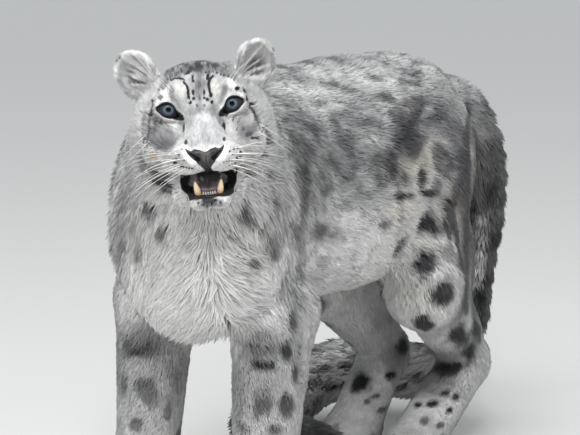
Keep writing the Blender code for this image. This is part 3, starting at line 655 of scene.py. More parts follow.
onto_skin(work, 1, 0.016, share=0.5)
relax(work, 3, 0.5)
onto_skin(work, 2, 0.016)
relax(work, 3, 0.5)
finer(work, lambda p: in_face(local(p)))
onto_skin(work, 1, 0.01)
finer(work, lambda p: in_face(local(p), 6.8, -3.6, -11.4, 5.2))
onto_skin(work, 1, 0.004, lambda p: in_face(local(p), 7.4, -4.4, -12.0, 6.0))
finer(work, lambda p: in_face(local(p), 6.4, -3.0, -10.9, 5.0))
onto_skin(work, 1, 0.003, lambda p: near_eyes(local(p), 2.7) | near_lips(local(p)))

# the lids: the skin sinks below the eyeball inside the slit, and swells a little round it
p = points_of(work)
q = local(p)
for s in (1, -1):
    pick = np.nonzero((s * q[:, 0] > 0.6) & near_eyes(q, 3.2))[0]
    a = np.stack([s * q[pick, 0] - EYE_MIDDLE[0], q[pick, 2]], 1)
    d = inside_curve(a, EYE_HOLE)
    r = np.hypot(*a.T)
    ball = -1.25 + np.sqrt(np.maximum(1.4 ** 2 - np.minimum(r, 1.39) ** 2, 0))
    y = q[pick, 1]
    lid = y + np.maximum(ball + 0.07 + 0.05 * smoothstep(0, 0.3, d) - y, 0) * smoothstep(1.9, 1.45, r)
    rim = 0.10 * np.exp(-((d - 0.22) / 0.16) ** 2) - 0.07 * np.exp(-((d - 0.62) / 0.14) ** 2) * (a[:, 1] > 0)
    sunk = np.where(r < 1.30, ball - 0.35, y - 0.22)
    t = smoothstep(0.03, -0.07, d)
    y_new = (lid + rim) * (1 - t) + sunk * t
    q[pick, 1] = np.where(y > -2.2, y_new, y)
# the groove under the nose
x, y, z = q.T
groove = np.exp(-(x / 0.16) ** 2) * smoothstep(-8.2, -7.3, z) * smoothstep(-6.1, -6.6, z) * (y > 3)
y -= 0.22 * groove
q[:, 1] = y
# room for the nose leather
pick = np.nonzero((q[:, 1] > 4.4) & (np.abs(q[:, 0]) < 2.7) & (q[:, 2] < -3.6) & (q[:, 2] > -7.2))[0]
q[pick, 1] -= 0.85 * smoothstep(0.0, -0.24, inside_curve(q[pick][:, [0, 2]], NOSE_SHAPE, 4))
p = np.array(EYES_AT) + (q * 0.01) @ HEAD.T
put_points(work, p)
skin_mesh = work
SKIN_P = points_of(skin_mesh)
SKIN_N = normals_of(skin_mesh)
print("skin", len(skin_mesh.vertices), len(skin_mesh.polygons))


# ------------------------------------------------------------------ where each mark lies
MM_PX = 1000.0 / FOCAL        # millimetres a pixel, for each metre from the camera
NOSE_TOP = head_point(0, 7.4, -4.6)


def on_coat(px, py):
    """The point of the coat seen at a place in the frame, with its normal; None off the animal."""
    d = unit(CAM_FORWARD + CAM_RIGHT * (px - FRAME_W / 2) / FOCAL - CAM_UP * (py - FRAME_H / 2) / FOCAL)
    hit, n, _, _ = OUT_TREE.ray_cast(Vector(CAM_AT), Vector(d))
    return (None, None) if hit is None else (np.array(hit), np.array(n))


class Mark:
    """A spot on the coat: middle, normal, two directions along the surface with radii, ring or solid, strength, shade."""
    broad = False

    def __init__(self, at, normal, a, b, ra, rb, strength=1.0, hollow=0.0, ragged=0.3, tone=0, thick=0.035):
        self.at, self.n, self.a, self.b, self.ra, self.rb = at, normal, a, b, ra, rb
        self.strength, self.hollow, self.ragged, self.tone, self.thick = strength, hollow, ragged, tone, thick
        self.reach = max(ra, rb) * 1.6 + thick


def seen_mark(px, py, rx, ry, angle=0.0, **how):
    """A mark with its shape as it looks in the frame: radii and turn in the frame, laid on the surface."""
    at, n = on_coat(px, py)
    if at is None:
        return None
    if n @ CAM_FORWARD > 0:
        n = -n
    unit_mm = MM_PX * 0.001 * ((at - CAM_AT) @ CAM_FORWARD)
    c, s = math.cos(math.radians(angle)), math.sin(math.radians(angle))
    ax, bx = CAM_RIGHT * c + CAM_UP * s, CAM_UP * c - CAM_RIGHT * s
    ax, bx = ax - (ax @ n) * n, bx - (bx @ n) * n
    la, lb = max(np.linalg.norm(ax), 0.42), max(np.linalg.norm(bx), 0.42)
    return Mark(at, n, unit(ax), unit(bx), rx * unit_mm / la, ry * unit_mm / lb, **how)


LINES = []     # (points along the surface, half width in metres, strength, dash length or 0, tone)


def seen_line(points, width, strength=1.0, dash=0.0, tone=0):
    """A stroke along places in the frame."""
    k = np.array(points, float)
    out = []
    for a, b in zip(k[:-1], k[1:]):
        n = max(2, int(np.hypot(*(b - a)) / 1.2))
        for t in np.arange(n) / n:
            at, _ = on_coat(*(a + (b - a) * t))
            if at is not None:
                out.append(at)
    at, _ = on_coat(*k[-1])
    if at is not None:
        out.append(at)
    if len(out) > 1:
        LINES.append((np.array(out), width * 0.0005 * 2, strength, dash, tone))


# tones: 0 black, 1 dark grey, 2 dusky, 3 white, 4 tan, 5 cream, 6 warm cream
MARKS = []
for row in (
        # throat, ruff and chest: x, y, half width, half height, turn, strength, hollow
        (140, 211, 7.5, 5.5, 0, 0.62, 0), (147, 218, 6, 5, 30, 0.55, 0), (157.5, 238, 5.5, 7.5, 0, 0.62, 0), (249, 212, 5, 5.5, 0, 0.62, 0), (250, 222, 9.5, 6, -10, 0.62, 0),
        (235, 240, 5.5, 5, 0, 0.55, 0), (215, 248.5, 5, 3, 0, 0.35, 0), (259, 268, 7, 7.5, 20, 0.62, 0), (278, 255, 5.5, 10, 0, 0.55, 0), (241, 281, 3.5, 6.5, 0, 0.38, 0),
        (132, 259, 5.5, 9.5, -10, 0.50, 0), (117, 249, 4.5, 8, 0, 0.50, 0), (180, 251, 5, 5, 0, 0.22, 0), (269, 238, 4.5, 10, -30, 0.45, 0), (148, 284, 5, 6, 0, 0.20, 0), (127, 232, 4, 9, 20, 0.30, 0), (160, 212, 4, 4, 0, 0.22, 0),
        (157, 177, 10, 3.6, -18, 0.66, 0), (161, 185.5, 11, 3.6, -16, 0.80, 0), (164, 193.5, 10, 3.6, -12, 0.85, 0), (152, 169, 6, 3.0, -20, 0.45, 0), (152, 187, 5, 9, 0, 0.30, 0), (255, 174.5, 6, 2.2, -12, 0.45, 0), (267, 156.5, 5, 2.0, 0, 0.7, 0),
        (139, 165, 3, 8, 0, 0.45, 0), (276, 176, 3.5, 5, 10, 0.5, 0), (283, 205, 3.5, 8, 0, 0.5, 0), (273, 141, 4, 5, 40, 0.55, 0),
        # forelegs
        (136, 353, 14, 3.0, 2, 0.72, 0), (124, 346, 6, 4, 0, 0.5, 0), (150, 347, 10, 4, -12, 0.36, 0), (264, 366, 14, 3.0, 0, 0.75, 0), (256, 350, 12, 4, 0, 0.34, 0),
        (288, 355, 5.5, 8, 0, 0.72, 0), (147, 393, 9, 13, 28, 0.52, 0.12), (168.5, 413, 3, 7, 0, 0.45, 0), (261, 403, 8.5, 12, -15, 0.58, 0.10), (288.5, 405, 7, 11, 5, 0.66, 0.08),
        (123, 385, 3.5, 8, 0, 0.5, 0), (293, 322, 3.5, 10, 0, 0.6, 0), (296, 375, 3, 7, 0, 0.6, 0), (134, 425, 6, 5, 0, 0.5, 0), (240, 428, 5, 4, 0, 0.45, 0), (278, 430, 7, 4, 0, 0.6, 0),
        # flank, haunch and hind leg
        (402, 178, 6.5, 9, 5, 0.66, 0.8), (407, 197, 10, 3.6, 4, 0.95, 0), (425, 178, 4.5, 11, 0, 0.75, 0), (446, 163, 9, 14, 10, 0.62, 0.5), (440, 186, 5, 6, 0, 0.5, 0), (432, 194, 8.5, 4, -4, 0.9, 0), (432, 223, 9, 10, 0, 0.9, 0.0), (412, 183, 4, 8, 0, 0.30, 0),
        (389, 226, 6, 4.5, 30, 0.55, 0), (402.5, 249, 4.5, 10, -35, 0.75, 0), (450, 252, 6, 6, 0, 0.5, 0), (427.5, 262, 8.5, 12.5, -12, 1.0, 0.12), (445, 294, 11, 11, -30, 0.95, 0.15),
        (425, 328, 11, 7, -10, 0.85, 0.1), (405, 345, 5.5, 8, 0, 0.75, 0), (460, 336, 9, 11, 20, 0.85, 0), (452, 369, 17, 5.5, 12, 0.9, 0), (470, 352, 6, 8, 0, 0.8, 0),
        (446, 392, 5, 2.6, -10, 0.9, 0), (457, 397, 4, 3, 0, 0.85, 0), (417.5, 403.5, 4, 2, 0, 0.85, 0), (432.5, 402.5, 6, 2.4, 10, 0.9, 0), (450.5, 410, 3.2, 2.4, 0, 0.85, 0),
        (425, 420, 4, 2.5, 0, 0.6, 0), (441, 425, 4, 2.5, 0, 0.6, 0), (392.5, 375, 6, 3, 0, 0.8, 0), (377, 396, 4, 2, 0, 0.6, 0), (367, 401, 3, 2, 0, 0.6, 0), (383, 410, 4, 2.2, 0, 0.6, 0),
        (452, 205, 6, 7, 0, 0.6, 0.3), (450, 228, 6, 7, 0, 0.6, 0), (462, 262, 5, 8, 0, 0.6, 0), (420, 140, 8, 6, 20, 0.55, 0.4), (398, 135, 8, 6, 20, 0.5, 0.4), (440, 150, 7, 7, 0, 0.5, 0.3),
        (380, 160, 7, 6, 0, 0.45, 0.3), (372, 195, 6, 5, 0, 0.4, 0), (352, 178, 7, 5, 20, 0.4, 0), (345, 205, 7, 5, 20, 0.4, 0), (322, 232, 10, 7, -20, 0.42, 0), (326, 190, 8, 6, 0, 0.4, 0),
        (352, 140, 8, 5, 15, 0.42, 0.3), (330, 160, 8, 6, 0, 0.4, 0), (308, 200, 6, 9, 0, 0.45, 0), (306, 172, 6, 8, 0, 0.45, 0), (300, 235, 5, 9, 0, 0.5, 0), (303, 270, 4, 9, 0, 0.45, 0),
        (300, 140, 6, 7, 0, 0.4, 0), (318, 128, 8, 5, 0, 0.4, 0), (290, 118, 6, 6, 0, 0.4, 0), (345, 112, 9, 4, 10, 0.42, 0), (372, 120, 9, 5, 10, 0.45, 0.2), (320, 102, 9, 4, 8, 0.4, 0),
        (295, 95, 7, 4, 0, 0.45, 0), (350, 88, 9, 3.5, 0, 0.45, 0), (385, 95, 9, 4.5, 10, 0.45, 0.3), (415, 100, 9, 5, 15, 0.5, 0.3), (442, 115, 7, 8, 30, 0.5, 0.3), (408, 80, 9, 3, 0, 0.5, 0),
        (375, 76, 9, 3, 0, 0.45, 0), (330, 82, 8, 3, 0, 0.45, 0), (300, 80, 6, 3, 0, 0.45, 0),
        # tail behind the haunch, and its underside between the legs
        (472, 214, 5, 7, 0, 0.7, 0), (477, 248, 4, 5, 0, 0.7, 0), (482, 300, 6, 12, 10, 0.8, 0), (478, 330, 5, 10, 15, 0.8, 0), (360, 380, 10, 6.5, 35, 0.95, 0), (352, 350, 9, 2.2, -35, 0.5, 0),
        (335, 388, 5, 3.5, 0, 0.8, 0)):
    x, y, rx, ry, angle, strength, hollow = row
    front = 1.0 if x > 290 or y > 310 else 0.0
    MARKS.append(seen_mark(x, y, rx * (1.06 + 0.10 * front), ry * (1.06 + 0.10 * front), angle, strength=min(1, strength * 1.3), hollow=hollow * 0.5, ragged=0.75))

for y in (222, 239, 255, 270, 284):
    MARKS.append(seen_mark(482 - (y - 222) * 0.06, y, 7.5, 4.2, 4, strength=0.62, tone=3, ragged=0.30))

# broad zones of tone: x, y, half width, half height, turn, strength, tone, reach through the body
# painted shade among these: the dark zones at the fold before the haunch (394-413, 128-160), beside the tail (466-488),
# on the hind shank (400-442, 352-362) and on the throat under the chin (199, 228)
for row in (
        (322, 150, 30, 34, 0, 0.22, 1), (306, 200, 8, 46, 3, 0.62, 1), (288, 205, 12, 50, 0, 0.34, 1), (290, 290, 10, 30, 3, 0.40, 1), (322, 232, 17, 10, -15, 0.55, 1),
        (380, 158, 17, 12, -20, 0.40, 1), (413, 150, 11, 9, 0, 0.9, 1), (411, 128, 12, 22, 22, 0.9, 1), (408, 132, 9, 18, 24, 0.5, 0), (394, 160, 6, 14, 20, 0.75, 1), (345, 188, 12, 12, 0, 0.30, 1), (328, 186, 9, 15, 0, 0.32, 1), (438, 95, 16, 14, 0, 0.22, 1), (447, 125, 14, 9, 0, 0.36, 1), (466, 190, 9, 62, 3, 0.85, 1), (467, 285, 8, 46, -2, 0.80, 1), (470, 240, 7, 40, 0, 0.6, 0), (350, 355, 26, 30, 0, 0.85, 3),
        (382, 128, 14, 8, 0, 0.35, 1), (352, 120, 14, 9, 0, 0.28, 1), (362, 232, 34, 30, 10, 0.55, 3), (350, 262, 34, 16, 0, 0.4, 3), (408, 207, 16, 10, 10, 0.52, 6), (420, 168, 22, 14, 20, 0.52, 6), (432, 150, 13, 12, 20, 0.34, 6), (425, 240, 12, 9, 0, 0.3, 6), (415, 290, 16, 16, 0, 0.20, 6),
        (142, 341, 26, 15, 3, 0.45, 1), (262, 349, 25, 14, -3, 0.45, 1), (113, 250, 7, 55, 0, 0.42, 1), (116, 340, 6, 45, 0, 0.40, 1), (298, 350, 6, 50, 0, 0.38, 1), (175, 395, 8, 35, -8, 0.35, 1), (238, 400, 6, 30, 0, 0.30, 1),
        (199, 292, 70, 34, 0, 0.50, 3), (199, 316, 66, 17, 0, 0.85, 3), (132, 303, 20, 22, 0, 0.75, 3), (270, 303, 20, 22, 0, 0.75, 3), (199, 300, 55, 22, 0, 0.6, 3), (199, 228, 34, 16, 0, 0.22, 2), (135, 238, 12, 14, 0, 0.35, 5), (262, 246, 12, 16, 0, 0.30, 5),
        (442, 362, 30, 18, 0, 0.62, 1), (400, 352, 12, 18, 0, 0.35, 1), (455, 120, 13, 34, 8, 0.20, 1), (310, 95, 34, 16, 5, 0.50, 3), (370, 76, 60, 11, 0, 0.36, 3), (455, 90, 26, 14, 20, 0.14, 3), (435, 402, 26, 12, 0, 0.12, 3), (128, 192, 18, 40, 0, 0.28, 2), (266, 190, 16, 36, 0, 0.24, 2), (145, 372, 32, 60, 0, 0.24, 1), (266, 376, 32, 60, 0, 0.20, 1), (450, 104, 20, 20, 0, 0.22, 1), (488, 185, 18, 75, 2, 0.32, 1), (469, 185, 6, 50, 0, 0.7, 1)):
    m = seen_mark(*row[:5], strength=min(0.9, row[5] * 1.15), tone=row[6], ragged=0.35, thick=0.06)
    if m is not None:
        m.broad = True
        MARKS.append(m)

# the face: x, y, half width, half height, turn, strength, tone
for row in (
        (149, 113.5, 2.2, 2.4, 0, 0.9, 0), (159.5, 96.5, 2.3, 2.6, 0, 0.55, 1), (238, 87, 2.2, 2.4, 0, 0.8, 0), (249.3, 97.8, 1.7, 2.2, 0, 0.9, 0), (253.8, 103, 2.6, 1.7, 15, 0.95, 0),
        (192.5, 76, 1.2, 2.2, 0, 0.9, 0), (192.8, 80, 1.2, 1.6, 0, 0.8, 0), (192.6, 91.5, 1.2, 2.6, 0, 0.95, 0), (188.0, 97, 1.4, 1.8, 0, 0.9, 0), (193.2, 97.5, 1.6, 1.5, 35, 0.9, 0), (189.5, 101.5, 1.9, 1.4, 45, 0.9, 0),
        (187.3, 91.5, 1.3, 2.4, 0, 0.9, 0), (204.3, 91.5, 1.1, 2.2, 0, 0.8, 0), (204.5, 97, 1.4, 1.4, 0, 0.75, 0), (208.2, 98.5, 1.8, 1.4, -35, 0.9, 0), (212.8, 101.3, 1.6, 1.4, -45, 0.9, 0), (211.6, 94.5, 1.4, 1.8, -20, 0.9, 0),
        (196.5, 104.5, 1.3, 1.5, 0, 0.6, 1), (204.5, 104.5, 1.3, 1.5, 0, 0.6, 1), (199.6, 98, 1.1, 2.5, 0, 0.5, 1), (199.3, 84, 1.3, 4.0, 0, 0.5, 1), (207.8, 75.6, 1.3, 3.0, -15, 0.85, 0), (187.6, 71.5, 3.0, 1.2, 25, 0.8, 0),
        # dusky streaks over the eyes and the dark midline
        (171.5, 93, 3.4, 8.5, 8, 0.55, 2), (224.5, 89, 3.6, 8.0, -18, 0.6, 2), (199.3, 84, 4.6, 20, 0, 0.62, 2), (199.5, 66.5, 18, 5.5, 0, 0.45, 1), (176, 72, 12, 4.5, 24, 0.55, 2), (224, 70, 13, 4.5, -22, 0.55, 2), (162, 85, 3.0, 8, -38, 0.40, 2), (237, 79, 3.0, 8, 42, 0.40, 2), (191, 80, 2.5, 7, 0, 0.30, 2), (207, 80, 2.5, 7, 0, 0.30, 2),
        # white over the eyes, under the eyes, by the nose
        (163.5, 93.5, 4.5, 5.5, 15, 0.75, 3), (180.5, 90.5, 4.8, 7.0, 0, 0.62, 5), (216.5, 87.5, 4.8, 7.0, 0, 0.62, 5), (233.5, 82.5, 7.0, 4.2, -35, 0.8, 3), (243.5, 95, 3.6, 2.6, -40, 0.75, 3),
        (155, 102.5, 3.0, 3.2, 0, 0.7, 3), (166, 119.0, 9.5, 2.3, -30, 1.0, 3), (174, 124.5, 4.0, 3.5, -45, 0.9, 3), (240, 109.5, 9.5, 2.4, 30, 1.0, 3), (228.5, 116.5, 4.5, 3.5, 60, 0.8, 3), (182.5, 118, 2.2, 6, 12, 0.85, 3),
        (221.3, 112, 2.4, 7, -8, 0.9, 3), (206, 133, 9, 15, 0, 0.25, 3),
        # tear marks
        (180.9, 127.5, 1.3, 3.4, -12, 0.9, 0), (185.0, 141.5, 1.5, 2.0, 0, 0.75, 1), (225.6, 123.5, 1.2, 3.4, 12, 0.9, 0), (224.8, 138, 1.2, 1.8, 0, 0.8, 1), (182.5, 134, 1.6, 3.5, -15, 0.4, 2), (226.5, 131, 1.6, 3.5, 12, 0.4, 2),
        # dusky cheeks
        (159.5, 132, 12.0, 11.5, 0, 0.56, 2), (153.0, 123, 4.5, 9.5, 0, 0.50, 2), (151, 135, 4, 12, 4, 0.34, 1), (172, 138, 9.5, 9.5, 0, 0.34, 2), (168, 158, 8, 9, 0, 0.34, 2), (177, 163, 7, 6, 0, 0.22, 2), (238, 158, 8, 9, 0, 0.20, 2), (183, 121, 4, 5, 0, 0.20, 2), (159, 141, 7, 4, 10, 0.25, 1), (164, 143, 9, 4.6, 12, 0.55, 2), (160.5, 146, 6.0, 3.2, 10, 0.16, 1), (155, 138, 8, 9, 0, 0.40, 2), (168, 134, 5, 8, 0, 0.35, 2), (247, 130, 8.5, 6.5, 20, 0.66, 2), (243, 123, 10.0, 6.0, 10, 0.42, 2), (250, 133, 4.2, 2.8, 20, 0.6, 1), (146, 133, 3.5, 13, 4, 0.45, 2), (256, 124, 3.0, 12, -14, 0.45, 2), (160, 122.5, 1.4, 1.4, 0, 0.5, 0), (237, 127.5, 1.3, 1.1, 0, 0.5, 0), (243.5, 128, 1.2, 1.1, 0, 0.6, 0), (150.5, 141, 1.6, 2.2, 0, 0.5, 1), (172, 140, 5, 6, 0, 0.30, 2),
        (254, 137.5, 2.2, 1.5, 0, 0.75, 1), (246.5, 113.5, 3.0, 1.6, 20, 0.45, 2), (153.5, 122, 1.0, 1.4, 0, 0.7, 1), (155, 129.5, 1.0, 1.0, 0, 0.6, 1), (227.6, 116.4, 0.9, 0.9, 0, 0.9, 0), (233.8, 118.8, 0.9, 0.8, 0, 0.9, 0), (238.8, 120.5, 0.9, 0.8, 0, 0.7, 0),
        (151.5, 156.5, 3.6, 3.8, 0, 0.7, 4), (259.0, 137.6, 1.3, 1.6, 0, 0.8, 0), (258, 121, 2.0, 8, -12, 0.35, 2),
        # bridge of the nose
        (192, 112, 5, 6, 0, 0.45, 2), (213, 109, 4.5, 6, 0, 0.45, 2), (199.5, 107, 4.5, 5, 0, 0.5, 2), (188.5, 122, 4, 8, -10, 0.35, 2), (220.5, 120, 3.5, 8, 10, 0.35, 2), (208, 118, 3.5, 5, 0, 0.55, 3), (204, 146.5, 7, 3.5, 0, 0.45, 3),
        (205, 130, 5, 12, 0, 0.25, 2),
        # whisker spots
        (171.8, 153.5, 1.6, 1.0, 0, 0.9, 0), (178.3, 154.2, 1.0, 1.1, 0, 0.85, 0), (174.3, 163, 2.0, 1.0, -5, 0.85, 0), (180.6, 166.5, 1.3, 0.9, 0, 0.8, 0), (175.5, 158.8, 1.0, 0.8, 0, 0.6, 0), (184.0, 160.5, 0.9, 0.9, 0, 0.5, 0), (181.5, 148.5, 0.9, 0.9, 0, 0.5, 0),
        (230.0, 150.8, 0.9, 1.1, 0, 0.85, 0), (234.4, 148.2, 1.0, 1.1, 0, 0.9, 0), (238.2, 147.2, 0.9, 1.0, 0, 0.9, 0), (241.3, 152, 0.9, 1.2, 0, 0.9, 0), (237.7, 158.0, 1.2, 1.2, 0, 0.9, 0), (240.8, 157.2, 0.8, 1.0, 0, 0.85, 0), (233, 154.5, 0.8, 0.8, 0, 0.6, 0),
        (229.5, 159.5, 0.8, 0.8, 0, 0.55, 0), (226.5, 155, 0.8, 0.8, 0, 0.5, 0),
        # chin
        (209, 203, 12, 6, 0, 0.70, 2), (206, 128, 10, 16, 0, 0.13, 2), (209, 200.5, 8.5, 3.6, 0, 0.80, 1), (228, 201, 4.5, 3.0, -20, 0.9, 3), (192, 205, 4.0, 3.0, 0, 0.6, 3), (206, 196.8, 12, 1.9, 3, 0.8, 0), (203, 206, 1.0, 1.4, 0, 0.8, 0), (212, 205, 1.0, 1.5, 0, 0.8, 0), (198, 203.5, 1.0, 1.2, 0, 0.7, 0), (216, 200.5, 1.0, 1.5, 0, 0.7, 0), (207.5, 208, 1.0, 1.5, 0, 0.6, 0), (221, 203, 0.9, 1.2, 0, 0.6, 0)):
    grow = 1.22 if row[6] < 2 and max(row[2:4]) < 3.6 else 1.0
    MARKS.append(seen_mark(row[0], row[1], row[2] * grow, row[3] * grow, row[4], strength=min(1.0, row[5] * 1.3), tone=row[6], ragged=0.18 if max(row[2:4]) < 3.6 else 0.70, thick=0.012 if max(row[2:4]) < 3.6 else 0.03))
for points, width, strength, dash, tone in (
        # arcs over the eyes
        (((187.6, 96), (188, 90), (186.2, 84.5), (183, 81.2)), 1.4, 0.95, 0, 0), (((183, 78.6), (179, 77.0), (174.5, 77.3), (170, 79.0)), 1.5, 0.95, 0, 0),
        (((167.5, 80.5), (164.5, 84.5), (161.5, 88.5)), 1.1, 0.85, 2.6, 0), (((158.5, 90), (156, 95), (153.6, 101), (151, 107)), 0.9, 0.5, 3.0, 1),
        (((211.6, 95.5), (210, 90), (208.9, 84), (209.9, 78), (213.3, 75)), 1.5, 0.95, 0, 0), (((206, 71.2), (212.5, 70.3), (220, 72.5), (226, 74.5)), 1.3, 0.9, 3.4, 0),
        (((228.8, 75), (233, 77.5), (236.5, 81)), 1.2, 0.85, 3.0, 0), (((243.3, 87), (245.5, 90), (247.0, 92.5)), 1.3, 0.95, 0, 0), (((181, 70.8), (176, 72.3), (172, 74.5)), 1.3, 0.85, 3.0, 0),
        (((169.5, 76.5), (165, 80.5), (160.5, 85.5), (157, 90)), 1.2, 0.75, 3.0, 0),
        # lines behind the cheeks
        (((151, 100), (148.5, 108), (147.6, 117), (147.2, 127), (146.4, 137), (145.5, 146)), 2.3, 0.80, 0, 1), (((141.8, 138), (141.5, 147)), 2.2, 0.8, 0, 0), (((143.5, 112), (141, 122), (140.7, 134), (140.5, 141)), 2.2, 0.60, 0, 1), (((144, 148), (142.5, 153), (143, 158)), 1.4, 0.5, 0, 1),
        (((252, 106), (256, 112), (258.5, 119), (261, 126), (263.2, 131.5)), 1.7, 0.85, 0, 0), (((255.5, 108), (259.5, 115), (263, 123)), 1.3, 0.6, 0, 1), (((266, 126.5), (269.5, 130.5), (273.5, 136)), 1.9, 0.7, 3.4, 0),
        (((160, 146.5), (156, 149)), 1.2, 0.5, 0, 1),
        # lines over the lips
        (((180.5, 166.8), (186, 168.2), (192.5, 169.3)), 1.1, 0.9, 2.4, 0), (((223.5, 168.7), (230, 166), (236.8, 163.2)), 1.2, 0.95, 2.8, 0), (((224, 162.5), (229, 161.5), (233.5, 160.5)), 0.9, 0.6, 2.4, 0), (((171, 164.5), (177, 168), (184, 171)), 0.9, 0.6, 2.4, 0),
        # corners of the eyes
        (((180.6, 120.8), (178.5, 117.5), (176.5, 115)), 1.5, 1.0, 0, 0), (((156.0, 108.6), (152.5, 110.5), (149.5, 113)), 0.8, 0.6, 0, 0), (((225.2, 112.8), (226.8, 110.5), (228, 108)), 1.4, 1.0, 0, 0), (((246.5, 99.8), (250, 101), (254, 103)), 1.0, 0.8, 0, 0),
        # parting down the breast
        (((197, 246), (198.5, 262), (199, 280), (198.5, 302)), 1.2, 0.45, 0, 2),
        # painted shade: the shade in the fold before the haunch, and along the edge of the haunch beside the tail
        (((424, 102), (419, 116), (409, 132), (399, 148), (393, 166), (392, 176)), 8.5, 0.80, 0, 1), (((422, 108), (415, 124), (404, 139), (396, 154), (392, 170)), 6.0, 0.90, 0, 0),
        (((470, 112), (468, 150), (461, 185), (452, 213), (459, 240), (465, 275), (468, 310)), 10.0, 0.80, 0, 1), (((456, 190), (449, 205), (446, 222), (452, 240)), 5, 0.6, 0, 0), (((469, 138), (470, 160), (469, 185), (468, 210), (467, 238)), 7.0, 0.7, 0, 1),
        # white edges of the lips beside the nose
        (((184.8, 150), (187, 156), (191.5, 161.5), (197, 166), (202.5, 170)), 3.6, 0.95, 0, 3), (((226.6, 147), (224.4, 153.5), (220.5, 159.5), (216.5, 165), (213.5, 169.5)), 3.6, 0.95, 0, 3),
        (((176, 169.5), (183, 171.3), (190, 172.3)), 2.6, 0.7, 0, 3), (((222, 168.3), (230, 166.8), (237, 165.6)), 2.0, 0.5, 0, 3)):
    seen_line(points, width * (1.08 if width < 2.5 and tone != 3 else 1.0), min(1.0, strength * 1.15), dash, tone)
MARKS = [m for m in MARKS if m is not None]
# rings round the eyes: dark skin at the lids
TONES = np.array(((0.012, 0.012, 0.015), (0.055, 0.055, 0.062), (0.150, 0.150, 0.157), (0.86, 0.86, 0.85), (0.42, 0.30, 0.21), (0.66, 0.645, 0.60), (0.68, 0.635, 0.54)))


def mirrored(m):
    """The same mark on the other side of the body."""
    flip = np.array((-1.0, 1, 1))
    at, n, _, _ = OUT_TREE.find_nearest(Vector(m.at * flip))
    out = Mark(np.array(at), np.array(n), m.a * flip, m.b * flip, m.ra, m.rb, m.strength, m.hollow, m.ragged, m.tone, m.thick)
    out.broad = m.broad
    # the dark broad zones are mostly painted shade of the near side, so their copies are weaker
    if m.broad and m.tone < 2:
        out.strength *= 0.45
    return out


def scattered_marks():
    """Rosettes and spots for the sides that the head-on view doesn't show, set a hand apart."""
    rng = np.random.default_rng(41)
    # the zones and rosettes of the flank and haunch have their like on the right side
    for m in list(MARKS):
        if m.tone in (0, 1, 3, 5, 6) and m.at[0] > 0.05 and m.at[1] > -0.25 and m.at[2] > 0.16 and m.n[0] > 0.25:
            MARKS.append(mirrored(m))
    for pts, half, strength, dash, tone in list(LINES):
        # the broad dark lines, painted shade in the fold and beside the tail, are not copied
        if pts[:, 1].min() > -0.15 and not (tone < 2 and half > 0.004):
            LINES.append((np.array([np.array(OUT_TREE.find_nearest(Vector(v * (-1, 1, 1)))[0]) for v in pts]), half, strength, dash, tone))
    there = np.array([m.at for m in MARKS if not m.broad and m.tone < 2])
    share = measures(OUT_P)
    head, ear, neck, trunk = share[:, 7], share[:, 8], share[:, 9], share[:, 10]
    legs, tail = share[:, 11:15].sum(1), share[:, 15]
    order = rng.permutation(len(OUT_P))[:9000]
    kept, found = [], []
    place, _ = in_frame(OUT_P[order])
    for j, i in enumerate(order):
        p, n = OUT_P[i], OUT_N[i]
        if head[i] + ear[i] > 0.45 or p[2] < 0.022:
            continue
        gap = 0.062 * trunk[i] + 0.044 * neck[i] + 0.046 * legs[i] + 0.058 * tail[i]
        if p[2] < 0.10:
            gap *= 0.55
        white = share[i, 3]
        if trunk[i] + neck[i] > 0.5 and n[2] < -0.55:
            continue
        x, y = place[j]
        if -4 < x < FRAME_W + 4 and -4 < y < FRAME_H + 4 and n @ unit(CAM_AT - p) > 0.08 and tail[i] < 0.5:
            hit, *_ = OUT_TREE.ray_cast(Vector(CAM_AT), Vector(unit(p - CAM_AT)))
            if hit is not None and np.linalg.norm(np.array(hit) - p) < 0.03:
                continue
        if kept and (np.linalg.norm(np.array(kept) - p, axis=1) < np.array(found) * 0.5 + gap * 0.5).any():
            continue
        if (np.linalg.norm(there - p, axis=1) < gap * 0.75).any():
            continue
        kept.append(p)
        found.append(gap)
        lie = share[i, 4:7]
        a = lie - (lie @ n) * n
        a = unit(a) if np.linalg.norm(a) > 0.05 else unit(np.cross(n, (1, 0, 0)))
        b = np.cross(n, a)
        turn_by = rng.uniform(-0.6, 0.6)
        a, b = a * math.cos(turn_by) + b * math.sin(turn_by), b * math.cos(turn_by) - a * math.sin(turn_by)
        size = gap * rng.uniform(0.26, 0.36)
        long = rng.uniform(1.0, 1.5)
        solid = legs[i] > 0.4 or tail[i] > 0.5 or neck[i] > 0.5
        MARKS.append(Mark(p, n, a, b, size * long, size / long, strength=rng.uniform(0.6, 0.9) if solid else rng.uniform(0.5, 0.8),
                          hollow=rng.uniform(0, 0.25) if solid else rng.uniform(0.4, 0.65)))


scattered_marks()


def tone_over(colour, mask, tone):
    return colour + (TONES[tone] - colour) * mask[:, None]


EYE_MID = [head_point(s * EYE_MIDDLE[0], *EYE_MIDDLE[1:]) for s in (1, -1)]
LIPS = ((183.6, 175.8), (186, 177.0), (190, 177.4), (196, 177.9), (200, 177.0), (203.6, 174.0), (205.6, 171.0), (206.2, 168.5), (208.3, 167.6), (210.6, 168.5), (211.8, 171.3), (216, 174.0),
        (221, 175.2), (225, 173.2), (230, 170.8), (235, 169.0), (238.8, 168.4), (238.0, 172.5), (236.0, 177.5), (235.4, 185), (236.4, 192.3), (229.5, 195.2), (222, 195.6), (215, 194.8),
        (207.5, 194.4), (200, 196.7), (193, 198.8), (187.2, 200.3), (185.4, 193), (184.0, 185))


